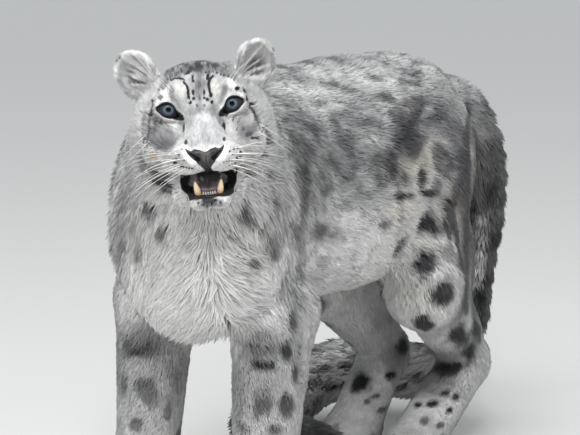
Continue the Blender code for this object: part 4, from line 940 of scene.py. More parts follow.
def tint(p, n, share):
    """The colour of skin and coat at points of the coat's outside."""
    q = local(p)
    head = np.clip(share[:, 7] + share[:, 8], 0, 1)
    white, ear, tail, legs = share[:, 3], share[:, 8], share[:, 15], share[:, 11:15].sum(1)
    big, mid, small = noise(p, 0.055, 1), noise(p, 0.020, 2), noise(p, 0.0075, 3)
    # ground: grey above, white below
    under = smoothstep(0.25, -0.55, n[:, 2]) * (1 - head)
    light = np.clip(white + 0.30 * under + (mid - 0.5) * 0.26 + (big - 0.5) * 0.20, 0, 1)
    grey, pale = np.array((0.125, 0.127, 0.135)), np.array((0.74, 0.738, 0.725))
    c = grey + (pale - grey) * light[:, None]
    # painted shade: the back of the haunches beside the tail, where the surface turns away, is darkened for the shade
    # there
    painted_rear_shade = np.maximum(smoothstep(0.10, 0.42, n[:, 1]) * smoothstep(0.15, 0.20, p[:, 1]), smoothstep(0.245, 0.268, p[:, 1])) * smoothstep(0.14, 0.22, p[:, 2]) * smoothstep(0.035, 0.060, np.abs(p[:, 0]))
    painted_rear_shade *= smoothstep(0.56, 0.40, p[:, 2] + 0.16 * (big - 0.5)) * (0.42 + 0.58 * smoothstep(0.86, 0.50, n[:, 1]) * smoothstep(0.0, 0.05, p[:, 0]))
    c = tone_over(c, painted_rear_shade * (1 - tail) * (1 - head) * 0.80, 1)
    # small smudges on the back and flanks
    smudge = smoothstep(0.52, 0.72, noise(p * np.array((1, 0.62, 1)), 0.017, 5)) * (1 - head) * (1 - np.clip(legs + tail, 0, 1)) * (1 - smoothstep(0.55, 0.85, white + under * 0.4))
    c = tone_over(c, smudge * 0.72, 1)
    # a warm cast on the flank and haunch
    warm = smoothstep(0.5, 0.8, noise(p, 0.09, 6)) * np.exp(-(((p - (0.11, 0.20, 0.42)) / (0.08, 0.14, 0.10)) ** 2).sum(1)) * smoothstep(0.40, 0.10, n[:, 1])
    c = c * (1 + warm[:, None] * (0.22, 0.08, -0.10))
    # the tail: dark rings above, broken below
    if tail.max() > 0.3:
        t = np.nonzero(tail > 0.3)[0]
        line = spline(TAIL_KEYS, 8)
        d = np.linalg.norm(p[t, None] - line[None, :, :3], axis=2)
        i = d.argmin(1)
        along = np.concatenate([[0], np.cumsum(np.linalg.norm(np.diff(line[:, :3], axis=0), axis=1))])[i]
        ring = smoothstep(0.15, 0.6, np.cos(along / 0.064 * 2 * math.pi + 2.2 * (noise(p[t], 0.05, 9) - 0.5)) + 0.5 * (noise(p[t], 0.025, 10) - 0.5))
        away = (p[t] - line[i, :3])
        side = away / np.maximum(np.linalg.norm(away, axis=1), 1e-9)[:, None]
        # the side that faces the body and the floor is white
        plain = np.where(along > 0.55, smoothstep(0.1, 0.6, side @ unit((0.6, -0.75, 0.1))), smoothstep(0.35, 0.85, -side[:, 1])) * (along < 0.98)
        c[t] = c[t] + (np.array((0.62, 0.615, 0.60)) - c[t]) * (plain * 0.8)[:, None]
        c[t] = tone_over(c[t], ring * (1 - plain) * (0.85 - 0.50 * smoothstep(0.32, 0.18, along)), 1)
        # where it hangs behind the haunch it is dark all round, barred with grey: partly its own dark rings, partly
        # painted shade
        hang_dark_and_shade = smoothstep(0.52, 0.42, along) * (smoothstep(0.115, 0.20, along + 0.05 * (noise(p[t], 0.03, 11) - 0.5)) * 0.75 + 0.25 * smoothstep(0.04, 0.12, along))
        c[t] = c[t] + (c[t] * 0.15 + 0.010 - c[t]) * (hang_dark_and_shade * 0.92)[:, None]
        c[t] = tone_over(c[t], smoothstep(0.94, 1.0, along) * 0.8, 0)
    # head: grey crown with dark dashes, white muzzle and throat
    if head.max() > 0.3:
        x, y, z = q.T
        crown = smoothstep(2.0, 4.2, z + 0.25 * np.minimum(0, -y - 5)) * smoothstep(6.5, 3.5, np.abs(x)) * head * (1 - ear)
        c = c + (np.array((0.165, 0.165, 0.175)) - c) * (crown * 0.85)[:, None]
        flecks = smoothstep(0.51, 0.57, noise(np.stack([q[:, 0] / 0.30, q[:, 1] / 1.0, q[:, 2] / 0.6], 1) * 0.01, 0.010, 12))
        flecks = flecks * np.clip(crown * 1.4 + smoothstep(-4, -7, y) * smoothstep(0, 2, z) * head, 0, 1) * (1 - ear) * 0.95
        bridge = np.exp(-(x / 2.0) ** 2) * smoothstep(-4.6, -3.4, z) * smoothstep(1.4, 0.0, z) * head
        c = c + (np.array((0.50, 0.505, 0.53)) - c) * (bridge * 0.7)[:, None]
        # ears: pale rim and tufts, dark hollow, dark back with a pale patch
        if ear.max() > 0.3:
            e = np.nonzero(ear > 0.25)[0]
            s = np.where(q[e, 0] > 0, 1, -1)
            front = np.zeros(len(e))
            for sign in (1, -1):
                k = s == sign
                r = ear_turn(sign)
                w = (q[e][k] - np.array((sign * 6.55, -5.0, 3.75))) @ r
                nn = (n[e][k] @ HEAD) @ r
                facing = nn[:, 1]
                rho = np.sqrt((w[:, 0] / 2.45) ** 2 + (w[:, 2] / 3.05) ** 2)
                inner = smoothstep(-0.1, 0.4, facing)
                hollow = inner * smoothstep(0.85, 0.25, np.sqrt(((w[:, 0] - sign * 0.25) / 1.8) ** 2 + ((w[:, 2] + 0.1) / 2.1) ** 2))
                cc = c[e][k]
                cc = cc + (np.array((0.36, 0.36, 0.365)) - cc) * (inner * 0.88)[:, None]
                cc = cc + (np.array((0.030, 0.030, 0.034)) - cc) * (hollow * 0.88)[:, None]
                ang = np.arctan2(w[:, 2] + 1.6, w[:, 0] * sign + 1.9)
                hair = smoothstep(0.46, 0.56, noise(np.stack([ang * 0.095, rho * 0.008, np.full(len(ang), 0.3 + sign)], 1), 0.0085, 14))
                cc = cc + (np.array((0.70, 0.70, 0.69)) - cc) * (hair * inner * smoothstep(3.0, 1.0, w[:, 0] * sign + 0.6) * 0.90)[:, None]
                back = smoothstep(0.1, -0.4, facing)
                edge = smoothstep(0.86, 0.98, rho + 0.22 * (small[e][k] - 0.5))
                cc = cc + (np.array((0.030, 0.030, 0.034)) - cc) * (back * (1 - edge) * 0.92)[:, None]
                patch = back * smoothstep(0.5, 0.3, np.hypot(w[:, 0] / 2.6, (w[:, 2] - 0.6) / 2.6))
                cc = cc + (np.array((0.50, 0.49, 0.47)) - cc) * (patch * 0.85)[:, None]
                cc = cc + (np.array((0.78, 0.775, 0.76)) - cc) * (edge * 0.85)[:, None]
                cc2 = c[e]
                cc2[k] = cc
                c[e] = cc2
    c = c * (1 + (small - 0.5)[:, None] * 0.12)
    # the marks, light ones first
    rough = (noise(p, 0.011, 20) - 0.5) * 0.9 + (noise(p, 0.0045, 21) - 0.5) * 0.5
    tree_order = sorted(MARKS, key=lambda m: (not m.broad, m.tone not in (2, 3, 4, 5, 6), m.tone == 0))
    for m in tree_order:
        near = np.nonzero((np.abs(p - m.at) < m.reach).all(1))[0]
        if not len(near):
            continue
        d = p[near] - m.at
        off = np.abs(d @ m.n)
        rho = np.hypot((d @ m.a) / m.ra, (d @ m.b) / m.rb) + rough[near] * m.ragged
        soft = 0.75 if m.broad else 0.6 if m.tone > 1 else 0.22 if m.thick < 0.031 else 0.38
        mask = smoothstep(1 + soft, 1 - soft, rho) * smoothstep(m.thick * 1.3, m.thick * 0.7, off)
        if m.hollow > 0:
            mask *= 1 - m.hollow * smoothstep(0.72, 0.38, rho)
        c[near] = tone_over(c[near], mask * m.strength, m.tone)
    for pts, half, strength, dash, tone in LINES:
        lo, hi = pts.min(0) - 0.012, pts.max(0) + 0.012
        near = np.nonzero(((p > lo) & (p < hi)).all(1))[0]
        if not len(near):
            continue
        best, along, run = np.full(len(near), 9.0), np.zeros(len(near)), 0.0
        for a, b in zip(pts[:-1], pts[1:]):
            ab = b - a
            ln = np.linalg.norm(ab)
            if ln < 1e-6:
                continue
            t = np.clip(((p[near] - a) @ ab) / ln ** 2, 0, 1)
            d = p[near] - a - t[:, None] * ab
            out = (d * n[near]).sum(1)
            d = np.sqrt(np.maximum((d * d).sum(1) - out ** 2 * 0.96, 0)) + 0.004 * smoothstep(0.018, 0.030, np.abs(out)) * 5
            closer = d < best
            best = np.where(closer, d, best)
            along = np.where(closer, run + t * ln, along)
            run += ln
        mask = smoothstep(1.35, 0.65, best / half + rough[near] * 0.25)
        if dash > 0:
            mask *= smoothstep(-0.75, -0.1, np.cos(along / (dash * 0.0013) * 2 * math.pi))
        c[near] = tone_over(c[near], mask * strength, tone)
    # dashes on the crown, and a fine grain on the face
    if head.max() > 0.3:
        c = tone_over(c, flecks, 0)
        fine = noise(np.stack([q[:, 0], q[:, 1] * 0.55, q[:, 2] * 0.55], 1) * 0.01, 0.0019, 40) - 0.5
        c = c * (1 + (fine * 0.50 * head * (1 - 0.6 * ear))[:, None])
    # dark skin round the eyes
    for s in (1, -1):
        near = np.nonzero((head > 0.3) & (s * q[:, 0] > 0.5) & (np.hypot(s * q[:, 0] - EYE_MIDDLE[0], q[:, 2]) < 3.0) & (q[:, 1] > -3.0))[0]
        if len(near):
            a = np.stack([s * q[near, 0] - EYE_MIDDLE[0], q[near, 2]], 1)
            d = inside_curve(a, EYE_HOLE)
            wide = 0.075 + 0.20 * smoothstep(-0.2, -1.0, a[:, 0]) * smoothstep(0.4, -0.6, a[:, 1]) + 0.11 * smoothstep(0.3, 0.9, a[:, 1])
            c[near] = tone_over(c[near], smoothstep(1.25, 0.75, d / wide + rough[near] * 0.12), 0)
    # lips
    near = np.nonzero((head > 0.3) & (q[:, 1] > -3.0) & (q[:, 2] < -6.0) & (q[:, 2] > -10.6) & (np.abs(q[:, 0]) < 4.6))[0]
    if len(near):
        place, _ = in_frame(p[near])
        d = inside_curve(place, LIPS, 3)
        c[near] = tone_over(c[near], smoothstep(0.8, -0.5, d + rough[near] * 0.8), 0)
    # the head, neck and upper breast are darker than the lower breast: painted shade on the throat and upper breast
    # under the head, and a greyer tone on the head
    grey_and_shade_dim = 0.125 * head + 0.17 * share[:, 9] * smoothstep(0.36, 0.42, p[:, 2]) + 0.19 * share[:, 10] * smoothstep(-0.20, -0.27, p[:, 1]) * smoothstep(0.37, 0.43, p[:, 2])
    return np.clip(c * (1 - grey_and_shade_dim)[:, None], 0.004, 0.95)


def lies(p, n, share):
    """The direction the coat lies in along the surface, as unit vectors."""
    lie = share[:, 4:7].copy()
    head = (share[:, 7] + share[:, 8])[:, None]
    q = local(p)
    away = (p - NOSE_TOP)
    away = away / np.linalg.norm(away, axis=1)[:, None]
    away = away + HEAD @ np.array((0, 0, 0.0))
    # ears: out from the base towards the rim
    ear = share[:, 8][:, None]
    s = np.where(q[:, 0] > 0, 1.0, -1.0)[:, None]
    rim = (np.array((0.75, 0, 0)) * s + np.array((0, 0, 0.8))) @ HEAD.T
    away = away * (1 - ear) + rim * ear
    lie = lie * (1 - head) + away * head
    # the breast parts down its middle
    off = p[:, 0] - (0.065 + (p[:, 2] - 0.336) * 0.33)
    front = smoothstep(-0.25, -0.35, p[:, 1]) * smoothstep(0.47, 0.40, p[:, 2]) * (1 - head[:, 0])
    lie[:, 0] += np.tanh(off / 0.006) * (0.30 + 1.25 * np.exp(-np.abs(off) / 0.045)) * front
    lie = lie / np.maximum(np.linalg.norm(lie, axis=1), 1e-9)[:, None]
    # slow waves, so that neighbours bend together
    wave = np.stack([noise(p, 0.035, 30) - 0.5, noise(p, 0.035, 31) - 0.5, noise(p, 0.035, 32) - 0.5], 1)
    lie = lie + wave * (0.55 * (1 - head) + 0.18 * head)
    lie = lie - (lie * n).sum(1)[:, None] * n
    return lie / np.maximum(np.linalg.norm(lie, axis=1), 1e-6)[:, None]


# ------------------------------------------------------------------ tufts
SHARE = measures(SKIN_P)
OVER = SKIN_P + SKIN_N * SHARE[:, :1]      # where the coat over each point of the skin ends
skin_q = local(SKIN_P)


def bare(p, over, n):
    """How far points are from the bare zones, cm: the eye openings, the nose leather, the lips and mouth, the soles."""
    q = local(p)
    d = np.full(len(q), 9.0)
    for s in (1, -1):
        k = np.nonzero((s * q[:, 0] > 0.5) & (np.hypot(s * q[:, 0] - EYE_MIDDLE[0], q[:, 2]) < 3.2) & (q[:, 1] > -3.4))[0]
        if len(k):
            d[k] = np.minimum(d[k], inside_curve(np.stack([s * q[k, 0] - EYE_MIDDLE[0], q[k, 2]], 1), EYE_HOLE) - 0.12)
    k = np.nonzero((q[:, 1] > 3.6) & (np.abs(q[:, 0]) < 4) & (q[:, 2] < -2) & (q[:, 2] > -9))[0]
    if len(k):
        d[k] = np.minimum(d[k], inside_curve(q[k][:, [0, 2]], NOSE_SHAPE, 3) - 0.02)
    k = np.nonzero((np.abs(q[:, 0]) < 5.5) & (q[:, 1] > -8) & (q[:, 2] < -4.5) & (q[:, 2] > -13.5))[0]
    if len(k):
        d[k] = np.minimum(d[k], MOUTH.distance(over[k]) * 100 - 0.16)
        place, _ = in_frame(over[k])
        lips = np.where((q[k, 1] > -2.0) & (q[k, 2] > -10.6), inside_curve(place, LIPS, 3) * 0.135, 9.0)
        d[k] = np.minimum(d[k], lips + 0.03)
    sole = (p[:, 2] < 0.006) & (n[:, 2] < -0.35)
    d[sole] = -1
    return d


def sprinkle():
    """Roots of the tufts over the skin: triangle, place in it; thicker where tufts are small."""
    skin_mesh.calc_loop_triangles()
    tri = np.empty(len(skin_mesh.loop_triangles) * 3, np.int32)
    skin_mesh.loop_triangles.foreach_get("vertices", tri)
    tri = tri.reshape(-1, 3)
    a, b, c = SKIN_P[tri[:, 0]], SKIN_P[tri[:, 1]], SKIN_P[tri[:, 2]]
    area = np.linalg.norm(np.cross(b - a, c - a), axis=1) / 2
    s = SHARE[tri].mean(1)
    q = local((a + b + c) / 3)
    face = smoothstep(-4.5, -1.5, q[:, 1]) * s[:, 7]
    cover = np.stack([3.0 - 1.5 * face, np.full(len(s), 2.4), np.full(len(s), 4.4), np.full(len(s), 4.0), *[np.full(len(s), 2.9)] * 4, np.full(len(s), 3.2)], 1)
    cover = (cover * s[:, 7:16]).sum(1)
    per_area = cover / (s[:, 0] * s[:, 2] * s[:, 1])
    want = per_area * area
    want *= TUFTS / want.sum()
    rng = np.random.default_rng(19)
    n = np.floor(want + rng.random(len(want))).astype(int)
    which = np.repeat(np.arange(len(tri)), n)
    u, v = rng.random(len(which)), rng.random(len(which))
    flip = u + v > 1
    u[flip], v[flip] = 1 - u[flip], 1 - v[flip]
    w = np.stack([1 - u - v, u, v], 1)
    p = (SKIN_P[tri[which]] * w[:, :, None]).sum(1)
    nn = (SKIN_N[tri[which]] * w[:, :, None]).sum(1)
    nn /= np.linalg.norm(nn, axis=1)[:, None]
    s = (SHARE[tri[which]] * w[:, :, None]).sum(1)
    return p, nn, s


TUFTS = 345000
root, rn, share = sprinkle()
q = local(root)
free = bare(root, root + rn * share[:, :1], rn)
# none inside the eye sockets or the mouth
keep = free > 0.02
root, rn, share, q, free = root[keep], rn[keep], share[keep], q[keep], free[keep]
rng = np.random.default_rng(23)
N = len(root)
head, ear, neck, trunk, legs, tail = share[:, 7], share[:, 8], share[:, 9], share[:, 10], share[:, 11:15].sum(1), share[:, 15]
short = 0.30 + 0.70 * smoothstep(0.0, 0.9, free)
depth = share[:, 0] * short
wide = share[:, 1] * (0.65 + 0.35 * short)
length = share[:, 0] * share[:, 2] * short
length *= rng.uniform(0.78, 1.12, N)
lie = lies(root, rn, share)
# by the eyes the hair runs round the lids
for s in (1, -1):
    k = np.nonzero((s * q[:, 0] > 0.5) & (np.hypot(s * q[:, 0] - EYE_MIDDLE[0], q[:, 2]) < 3.2) & (q[:, 1] > -3.4))[0]
    out = np.stack([q[k, 0] - s * EYE_MIDDLE[0], np.zeros(len(k)), q[k, 2]], 1)
    out /= np.maximum(np.linalg.norm(out, axis=1), 1e-6)[:, None]
    out = out @ HEAD.T
    out -= (out * rn[k]).sum(1)[:, None] * rn[k]
    w = (smoothstep(1.1, 0.1, free[k]) * 0.8)[:, None]
    d = lie[k] * (1 - w) + out * w
    lie[k] = d / np.maximum(np.linalg.norm(d, axis=1), 1e-6)[:, None]
side = np.cross(rn, lie)
# a tuft is shorter where the colour changes along it, so that marks keep their edges
here = tint(root + lie * (length * 0.15)[:, None] + rn * (depth * 0.3)[:, None], rn, share).mean(1)
there = tint(root + lie * (length * 0.85)[:, None] + rn * (depth * 0.9)[:, None], rn, share).mean(1)
change = smoothstep(0.06, 0.32, np.abs(there - here))
length *= 1 - change * (0.34 + 0.22 * head)
spread = 0.13 * (1 - 0.45 * head)
lie = lie + side * rng.normal(0, 1, N)[:, None] * spread[:, None]
lie /= np.linalg.norm(lie, axis=1)[:, None]
side = np.cross(rn, lie)
high = depth * (rng.uniform(0.74, 1.02, N) - 0.12 * head)
# the hanging tail is sleek
high = np.where(tail > 0.5, np.minimum(high, depth * 0.93), high)
# loose tufts that break the outline, fewer on the head and none on the tail
loose = rng.random(N) < (0.03 * (1 - head) + 0.01 * head) * (1 - tail)
high = np.where(loose, high * rng.uniform(1.05, 1.25, N), high)
flat_run = np.sqrt(np.maximum(length ** 2 - high ** 2, (length * 0.5) ** 2))
bend = rng.normal(0, 0.05, N) * length
mid = root + lie * (0.40 * flat_run)[:, None] + rn * (high * rng.uniform(0.55, 0.72, N))[:, None] + side * bend[:, None]
tip = root + lie * flat_run[:, None] + rn * high[:, None] + side * (rng.normal(0, 0.09, N) * length)[:, None]

# locks: tips drawn together
clump_size = 0.0085 * trunk + 0.0095 * neck + 0.006 * legs + 0.009 * tail + 0.004 * head + 0.004 * ear
pull = 0.26 * trunk + 0.30 * neck + 0.16 * legs + 0.14 * tail + 0.10 * head + 0.20 * ear
seeds = np.nonzero(rng.random(N) < np.clip((length * wide * 0.5) / (clump_size ** 2 * 3.2), 0, 0.5))[0]
tree = KDTree(len(seeds))
for j, i in enumerate(seeds):
    tree.insert(Vector(root[i]), j)
tree.balance()
own = seeds[np.array([tree.find(Vector(v))[1] for v in root])]
near = smoothstep(0.022, 0.008, np.linalg.norm(root - root[own], axis=1)) * smoothstep(0.3, 0.8, (rn * rn[own]).sum(1))
w = np.clip((pull * near * rng.uniform(0.5, 1.15, N))[:, None], 0, 0.85)
tip += (tip[own] - tip) * w
mid += (mid[own] - mid) * (w * 0.4)
# keep off the floor
tip[:, 2] = np.maximum(tip[:, 2], 0.0015 + rng.random(N) * 0.002)
mid[:, 2] = np.maximum(mid[:, 2], 0.0015 + wide * 0.3)
base = root - rn * (0.0006 + 0.04 * depth)[:, None]
base[:, 2] = np.maximum(base[:, 2], 0.0008)

# a tuft: its root, the two sides of its middle and its tip
axis = tip - base
axis /= np.linalg.norm(axis, axis=1)[:, None]
across = np.cross(rn, axis)
across /= np.maximum(np.linalg.norm(across, axis=1), 1e-6)[:, None]
half = (wide * rng.uniform(0.75, 1.25, N) * 0.5)[:, None]
P = np.stack([base, mid - across * half, mid + across * half, tip], 1)

# colour at the middle and at the tip of each tuft
colour_mid, colour_tip = tint(mid, rn, share), tint(tip, rn, share)
# locks differ in tone, most on the back, and tufts a little
lock = np.random.default_rng(29).random(len(root))[own]
mottled = np.clip(trunk + neck + 0.35 * legs, 0, 1) * (1 - 0.72 * smoothstep(0.55, 0.95, share[:, 3]))
tone = 1 - 0.42 * mottled * smoothstep(0.70, 0.95, lock) + 0.20 * mottled * smoothstep(0.30, 0.05, lock)
vary = (rng.normal(1, 0.055, N) * tone)[:, None]
C = np.ones((N, 4, 4))
# painted shade: each tuft is darker at its root, for the shade deep in the coat, and a little lighter at its tip
C[:, 0, :3] = colour_mid * vary * 0.84
C[:, 1:3, :3] = (colour_mid * vary * 0.97)[:, None]
C[:, 3, :3] = (colour_tip * 0.8 + colour_mid * 0.2) * vary * 1.05
C = np.clip(C, 0.003, 0.97)

# shading: mostly the body's normal, with a little of the tuft's own
VN = np.stack([rn - axis * 0.18, rn * 0.95 - across * 0.22, rn * 0.95 + across * 0.22, rn + axis * 0.15], 1)
VN /= np.linalg.norm(VN, axis=2)[:, :, None]

FACES = np.array(((0, 1, 2), (1, 3, 2), (0, 3, 1), (0, 2, 3)))

# ------------------------------------------------------------------ pieces of the coat, each with its own unwrap
def piece_of():
    """A number for each tuft: the piece of coat it belongs to."""
    part = share[:, 7:16].argmax(1)
    x, y, z = root.T
    lab = np.full(N, "", dtype=object)
    for i, name in enumerate(PARTS):
        k = part == i
        if name == "head":
            lab[k] = np.where(q[k, 1] > -2.6, np.where(q[k, 0] > 0, "coat_face_left", "coat_face_right"), np.where(q[k, 0] > 0, "coat_head_left", "coat_head_right"))
        elif name == "ear":
            lab[k] = "coat_ears"
        elif name == "neck":
            lab[k] = "coat_neck"
        elif name == "trunk":
            lab[k] = np.where(y[k] < -0.12, "coat_chest", np.where(y[k] < 0.13, "coat_belly", "coat_rump"))
            lab[k] = np.where(x[k] > 0, lab[k] + "_left", lab[k] + "_right")
        else:
            lab[k] = "coat_" + name
    return lab


LABELS = piece_of()


def chart(points, name):
    """An unwrap of a part's own shape: the angle round it and the place along it, from 0 to 1."""
    if "face" in name or "head" in name:
        w = local(points) - (0, -2.5, -2.5)
        s = 1 if name.endswith("left") else -1
        ang = np.arctan2(w[:, 2], w[:, 0] * s)
        down = np.arctan2(np.hypot(w[:, 0], w[:, 2]), w[:, 1])
        return np.stack([ang, down], 1)
    if "ear" in name:
        w = local(points)
        out = np.empty((len(points), 2))
        for s in (1, -1):
            k = s * w[:, 0] > 0
            v = (w[k] - np.array((s * 6.55, -5.0, 3.75))) @ ear_turn(s)
            ang = np.arctan2(v[:, 1] * 1.6, v[:, 0])
            out[k] = np.stack([ang / (2 * math.pi) + (0 if s > 0 else 1.05), v[:, 2] / 7], 1)
        return out
    if "tail" in name:
        line = spline(TAIL_KEYS, 8)
        d = np.linalg.norm(points[:, None] - line[None, :, :3], axis=2)
        i = d.argmin(1)
        along = np.concatenate([[0], np.cumsum(np.linalg.norm(np.diff(line[:, :3], axis=0), axis=1))])[i]
        a = points - line[i, :3]
        t = np.gradient(line[:, :3], axis=0)[i]
        t /= np.linalg.norm(t, axis=1)[:, None]
        ref = np.array((0.35, 0.2, 1.0)) - (t @ np.array((0.35, 0.2, 1.0)))[:, None] * t
        ref /= np.linalg.norm(ref, axis=1)[:, None]
        return np.stack([np.arctan2((np.cross(t, ref) * a).sum(1), (ref * a).sum(1)), along + (a * t).sum(1)], 1)
    if "leg" in name:
        fore, left = "fore" in name, name.endswith("left")
        s = 1 if left else -1
        if fore:
            xa = s * FORE_SPREAD[0 if left else 1]
            centre = np.stack([np.full(len(points), xa), SHOULDERS_Y + np.interp(points[:, 2], (0, 0.05, 0.1, 0.3), (-0.06, -0.03, 0.0, 0.02))], 1)
        else:
            foot = (0.068, 0.190) if left else (-0.052, 0.220)
            centre = np.stack([np.interp(points[:, 2], (0, 0.13, 0.27, 0.4), (foot[0], s * 0.068, s * 0.08, s * 0.06)),
                               np.interp(points[:, 2], (0, 0.05, 0.13, 0.27, 0.4), (foot[1], foot[1] + 0.03, 0.31, 0.19, 0.225))], 1)
        w = points[:, :2] - centre
        return np.stack([np.arctan2(w[:, 1], w[:, 0]), points[:, 2] + 0.25 * np.hypot(*w.T) * (points[:, 2] < 0.03)], 1)
    # trunk and neck: round the long axis
    if "neck" in name:
        a, b = np.array((0.012, -0.27, 0.475)), np.array((0.055, -0.385, 0.480))
        ax = unit(b - a)
        w = points - a
        up = unit(np.array((0, 0, 1)) - ax[2] * ax)
        sd = np.cross(ax, up)
        return np.stack([np.arctan2(w @ sd, w @ up), w @ ax], 1)
    zc = 0.42
    s = 1 if name.endswith("left") else -1
    w = points - (0, 0, zc)
    front = np.maximum(-0.30 - points[:, 1], 0) + np.maximum(points[:, 1] - 0.33, 0)
    return np.stack([np.arctan2(w[:, 0] * s, w[:, 2]), points[:, 1] + 0.0 * front], 1)


def coat_piece(name):
    k = np.nonzero(LABELS == name)[0]
    n = len(k)
    mesh = bpy.data.meshes.new(name)
    mesh.vertices.add(n * 4)
    mesh.vertices.foreach_set("co", np.ascontiguousarray(P[k] + SHIFT, np.float32).ravel())
    faces = (np.arange(n)[:, None, None] * 4 + FACES[None]).reshape(-1)
    mesh.loops.add(n * 12)
    mesh.loops.foreach_set("vertex_index", faces.astype(np.int32))
    mesh.polygons.add(n * 4)
    mesh.polygons.foreach_set("loop_start", np.arange(n * 4, dtype=np.int32) * 3)
    mesh.update(calc_edges=True)
    mesh.polygons.foreach_set("use_smooth", np.ones(n * 4, bool))
    c = mesh.color_attributes.new("tint", "FLOAT_COLOR", "POINT")
    c.data.foreach_set("color", np.ascontiguousarray(C[k], np.float32).ravel())
    strand = np.zeros((n, 4, 3))
    strand[:, :, 0] = np.array((0, -1, 1, 0)) * half[k] * 1000
    strand[:, :, 1] = np.array((0, 0.4, 0.4, 1)) * length[k, None] * 1000
    strand[:, :, 2] = (np.arange(n) % 997)[:, None] * 1.37
    s = mesh.attributes.new("strand", "FLOAT_VECTOR", "POINT")
    s.data.foreach_set("vector", np.ascontiguousarray(strand, np.float32).ravel())
    uv = chart(root[k], name)
    lo, hi = uv.min(0), uv.max(0)
    uv = 0.01 + 0.98 * (uv - lo) / np.maximum(hi - lo, 1e-9)
    patch = np.array(((0, -0.0015), (-0.0012, 0), (0.0012, 0), (0, 0.0015)))
    uv = uv[:, None] + patch[None]
    layer = mesh.uv_layers.new(name="OFBake")
    layer.data.foreach_set("uv", np.ascontiguousarray(uv[:, FACES.reshape(-1)], np.float32).ravel())
    mesh.normals_split_custom_set_from_vertices(VN[k].reshape(-1, 3).astype(np.float32))
    obj = bpy.data.objects.new(name, mesh)
    bpy.context.scene.collection.objects.link(obj)
    print(name, n, n * 4)
    return obj


# ------------------------------------------------------------------ materials
def node_material(name):
    m = bpy.data.materials.new(name)
    m.use_nodes = True
    return m, m.node_tree, m.node_tree.nodes["Principled BSDF"]


def link(nt, a, b):
    nt.links.new(a, b)


def varied(nt, source, shader, lo, hi, scale, coordinate=None, detail=2.0):
    """The colour source, made lighter and darker by a fine noise."""
    n = nt.nodes.new("ShaderNodeTexNoise")
    n.inputs["Scale"].default_value, n.inputs["Detail"].default_value = scale, detail
    if coordinate is not None:
        link(nt, coordinate, n.inputs["Vector"])
    r = nt.nodes.new("ShaderNodeMapRange")
    r.inputs["From Min"].default_value, r.inputs["From Max"].default_value = 0.28, 0.72
    r.inputs["To Min"].default_value, r.inputs["To Max"].default_value = lo, hi
    link(nt, n.outputs["Fac"], r.inputs["Value"])
    mix = nt.nodes.new("ShaderNodeMix")
    mix.data_type, mix.blend_type = "RGBA", "MULTIPLY"
    mix.inputs[0].default_value = 1.0
    link(nt, source, mix.inputs[6])
    link(nt, r.outputs["Result"], mix.inputs[7])
    link(nt, mix.outputs[2], shader.inputs["Base Color"])
    return n


def attribute(nt, name):
    a = nt.nodes.new("ShaderNodeAttribute")
    a.attribute_type, a.attribute_name = "GEOMETRY", name
    return a


def bumps(nt, shader, scale, strength, distance, detail=3.0, vector=None):
    n = nt.nodes.new("ShaderNodeTexNoise")
    n.inputs["Scale"].default_value, n.inputs["Detail"].default_value = scale, detail
    if vector is not None:
        link(nt, vector, n.inputs["Vector"])
    b = nt.nodes.new("ShaderNodeBump")
    b.inputs["Strength"].default_value, b.inputs["Distance"].default_value = strength, distance
    link(nt, n.outputs["Fac"], b.inputs["Height"])
    link(nt, b.outputs["Normal"], shader.inputs["Normal"])


def object_space(nt):
    return nt.nodes.new("ShaderNodeTexCoord").outputs["Object"]


def make_coat_material():
    m, nt, s = node_material("coat")
    strand = attribute(nt, "strand")
    scale = nt.nodes.new("ShaderNodeMapping")
    scale.inputs["Scale"].default_value = (2.6, 0.05, 1.0)
    link(nt, strand.outputs["Vector"], scale.inputs["Vector"])
    varied(nt, attribute(nt, "tint").outputs["Color"], s, 0.80, 1.14, 1.0, scale.outputs["Vector"], 1.0)
    s.inputs["Roughness"].default_value = 0.70
    s.inputs["Specular IOR Level"].default_value = 0.22
    s.inputs["Sheen Weight"].default_value = 0.12
    s.inputs["Sheen Roughness"].default_value = 0.5
    return m


def make_skin_material():
    m, nt, s = node_material("skin")
    xyz = object_space(nt)
    varied(nt, attribute(nt, "tint").outputs["Color"], s, 0.82, 1.12, 420.0, xyz)
    bumps(nt, s, 700.0, 0.35, 0.0006, vector=xyz)
    wet = attribute(nt, "wet")
    r = nt.nodes.new("ShaderNodeMapRange")
    r.inputs["To Min"].default_value, r.inputs["To Max"].default_value = 0.8, 0.55
    link(nt, wet.outputs["Fac"], r.inputs["Value"])
    link(nt, r.outputs["Result"], s.inputs["Roughness"])
    s.inputs["Specular IOR Level"].default_value = 0.35
    return m


def painted_material(name, roughness, scale=300.0, lo=0.9, hi=1.08, bump=0.0, coat=0.0, specular=0.5, subsurface=0.0, bump_scale=None):
    m, nt, s = node_material(name)
    xyz = object_space(nt)
    varied(nt, attribute(nt, "tint").outputs["Color"], s, lo, hi, scale, xyz)
    if bump:
        bumps(nt, s, bump_scale or scale * 2, bump, 0.0005, vector=xyz)
    s.inputs["Roughness"].default_value = roughness
    s.inputs["Specular IOR Level"].default_value = specular
    if coat:
        s.inputs["Coat Weight"].default_value, s.inputs["Coat Roughness"].default_value = coat, 0.02
    if subsurface:
        s.inputs["Subsurface Weight"].default_value = subsurface
        s.inputs["Subsurface Radius"].default_value = (0.004, 0.002, 0.0012)
    return m


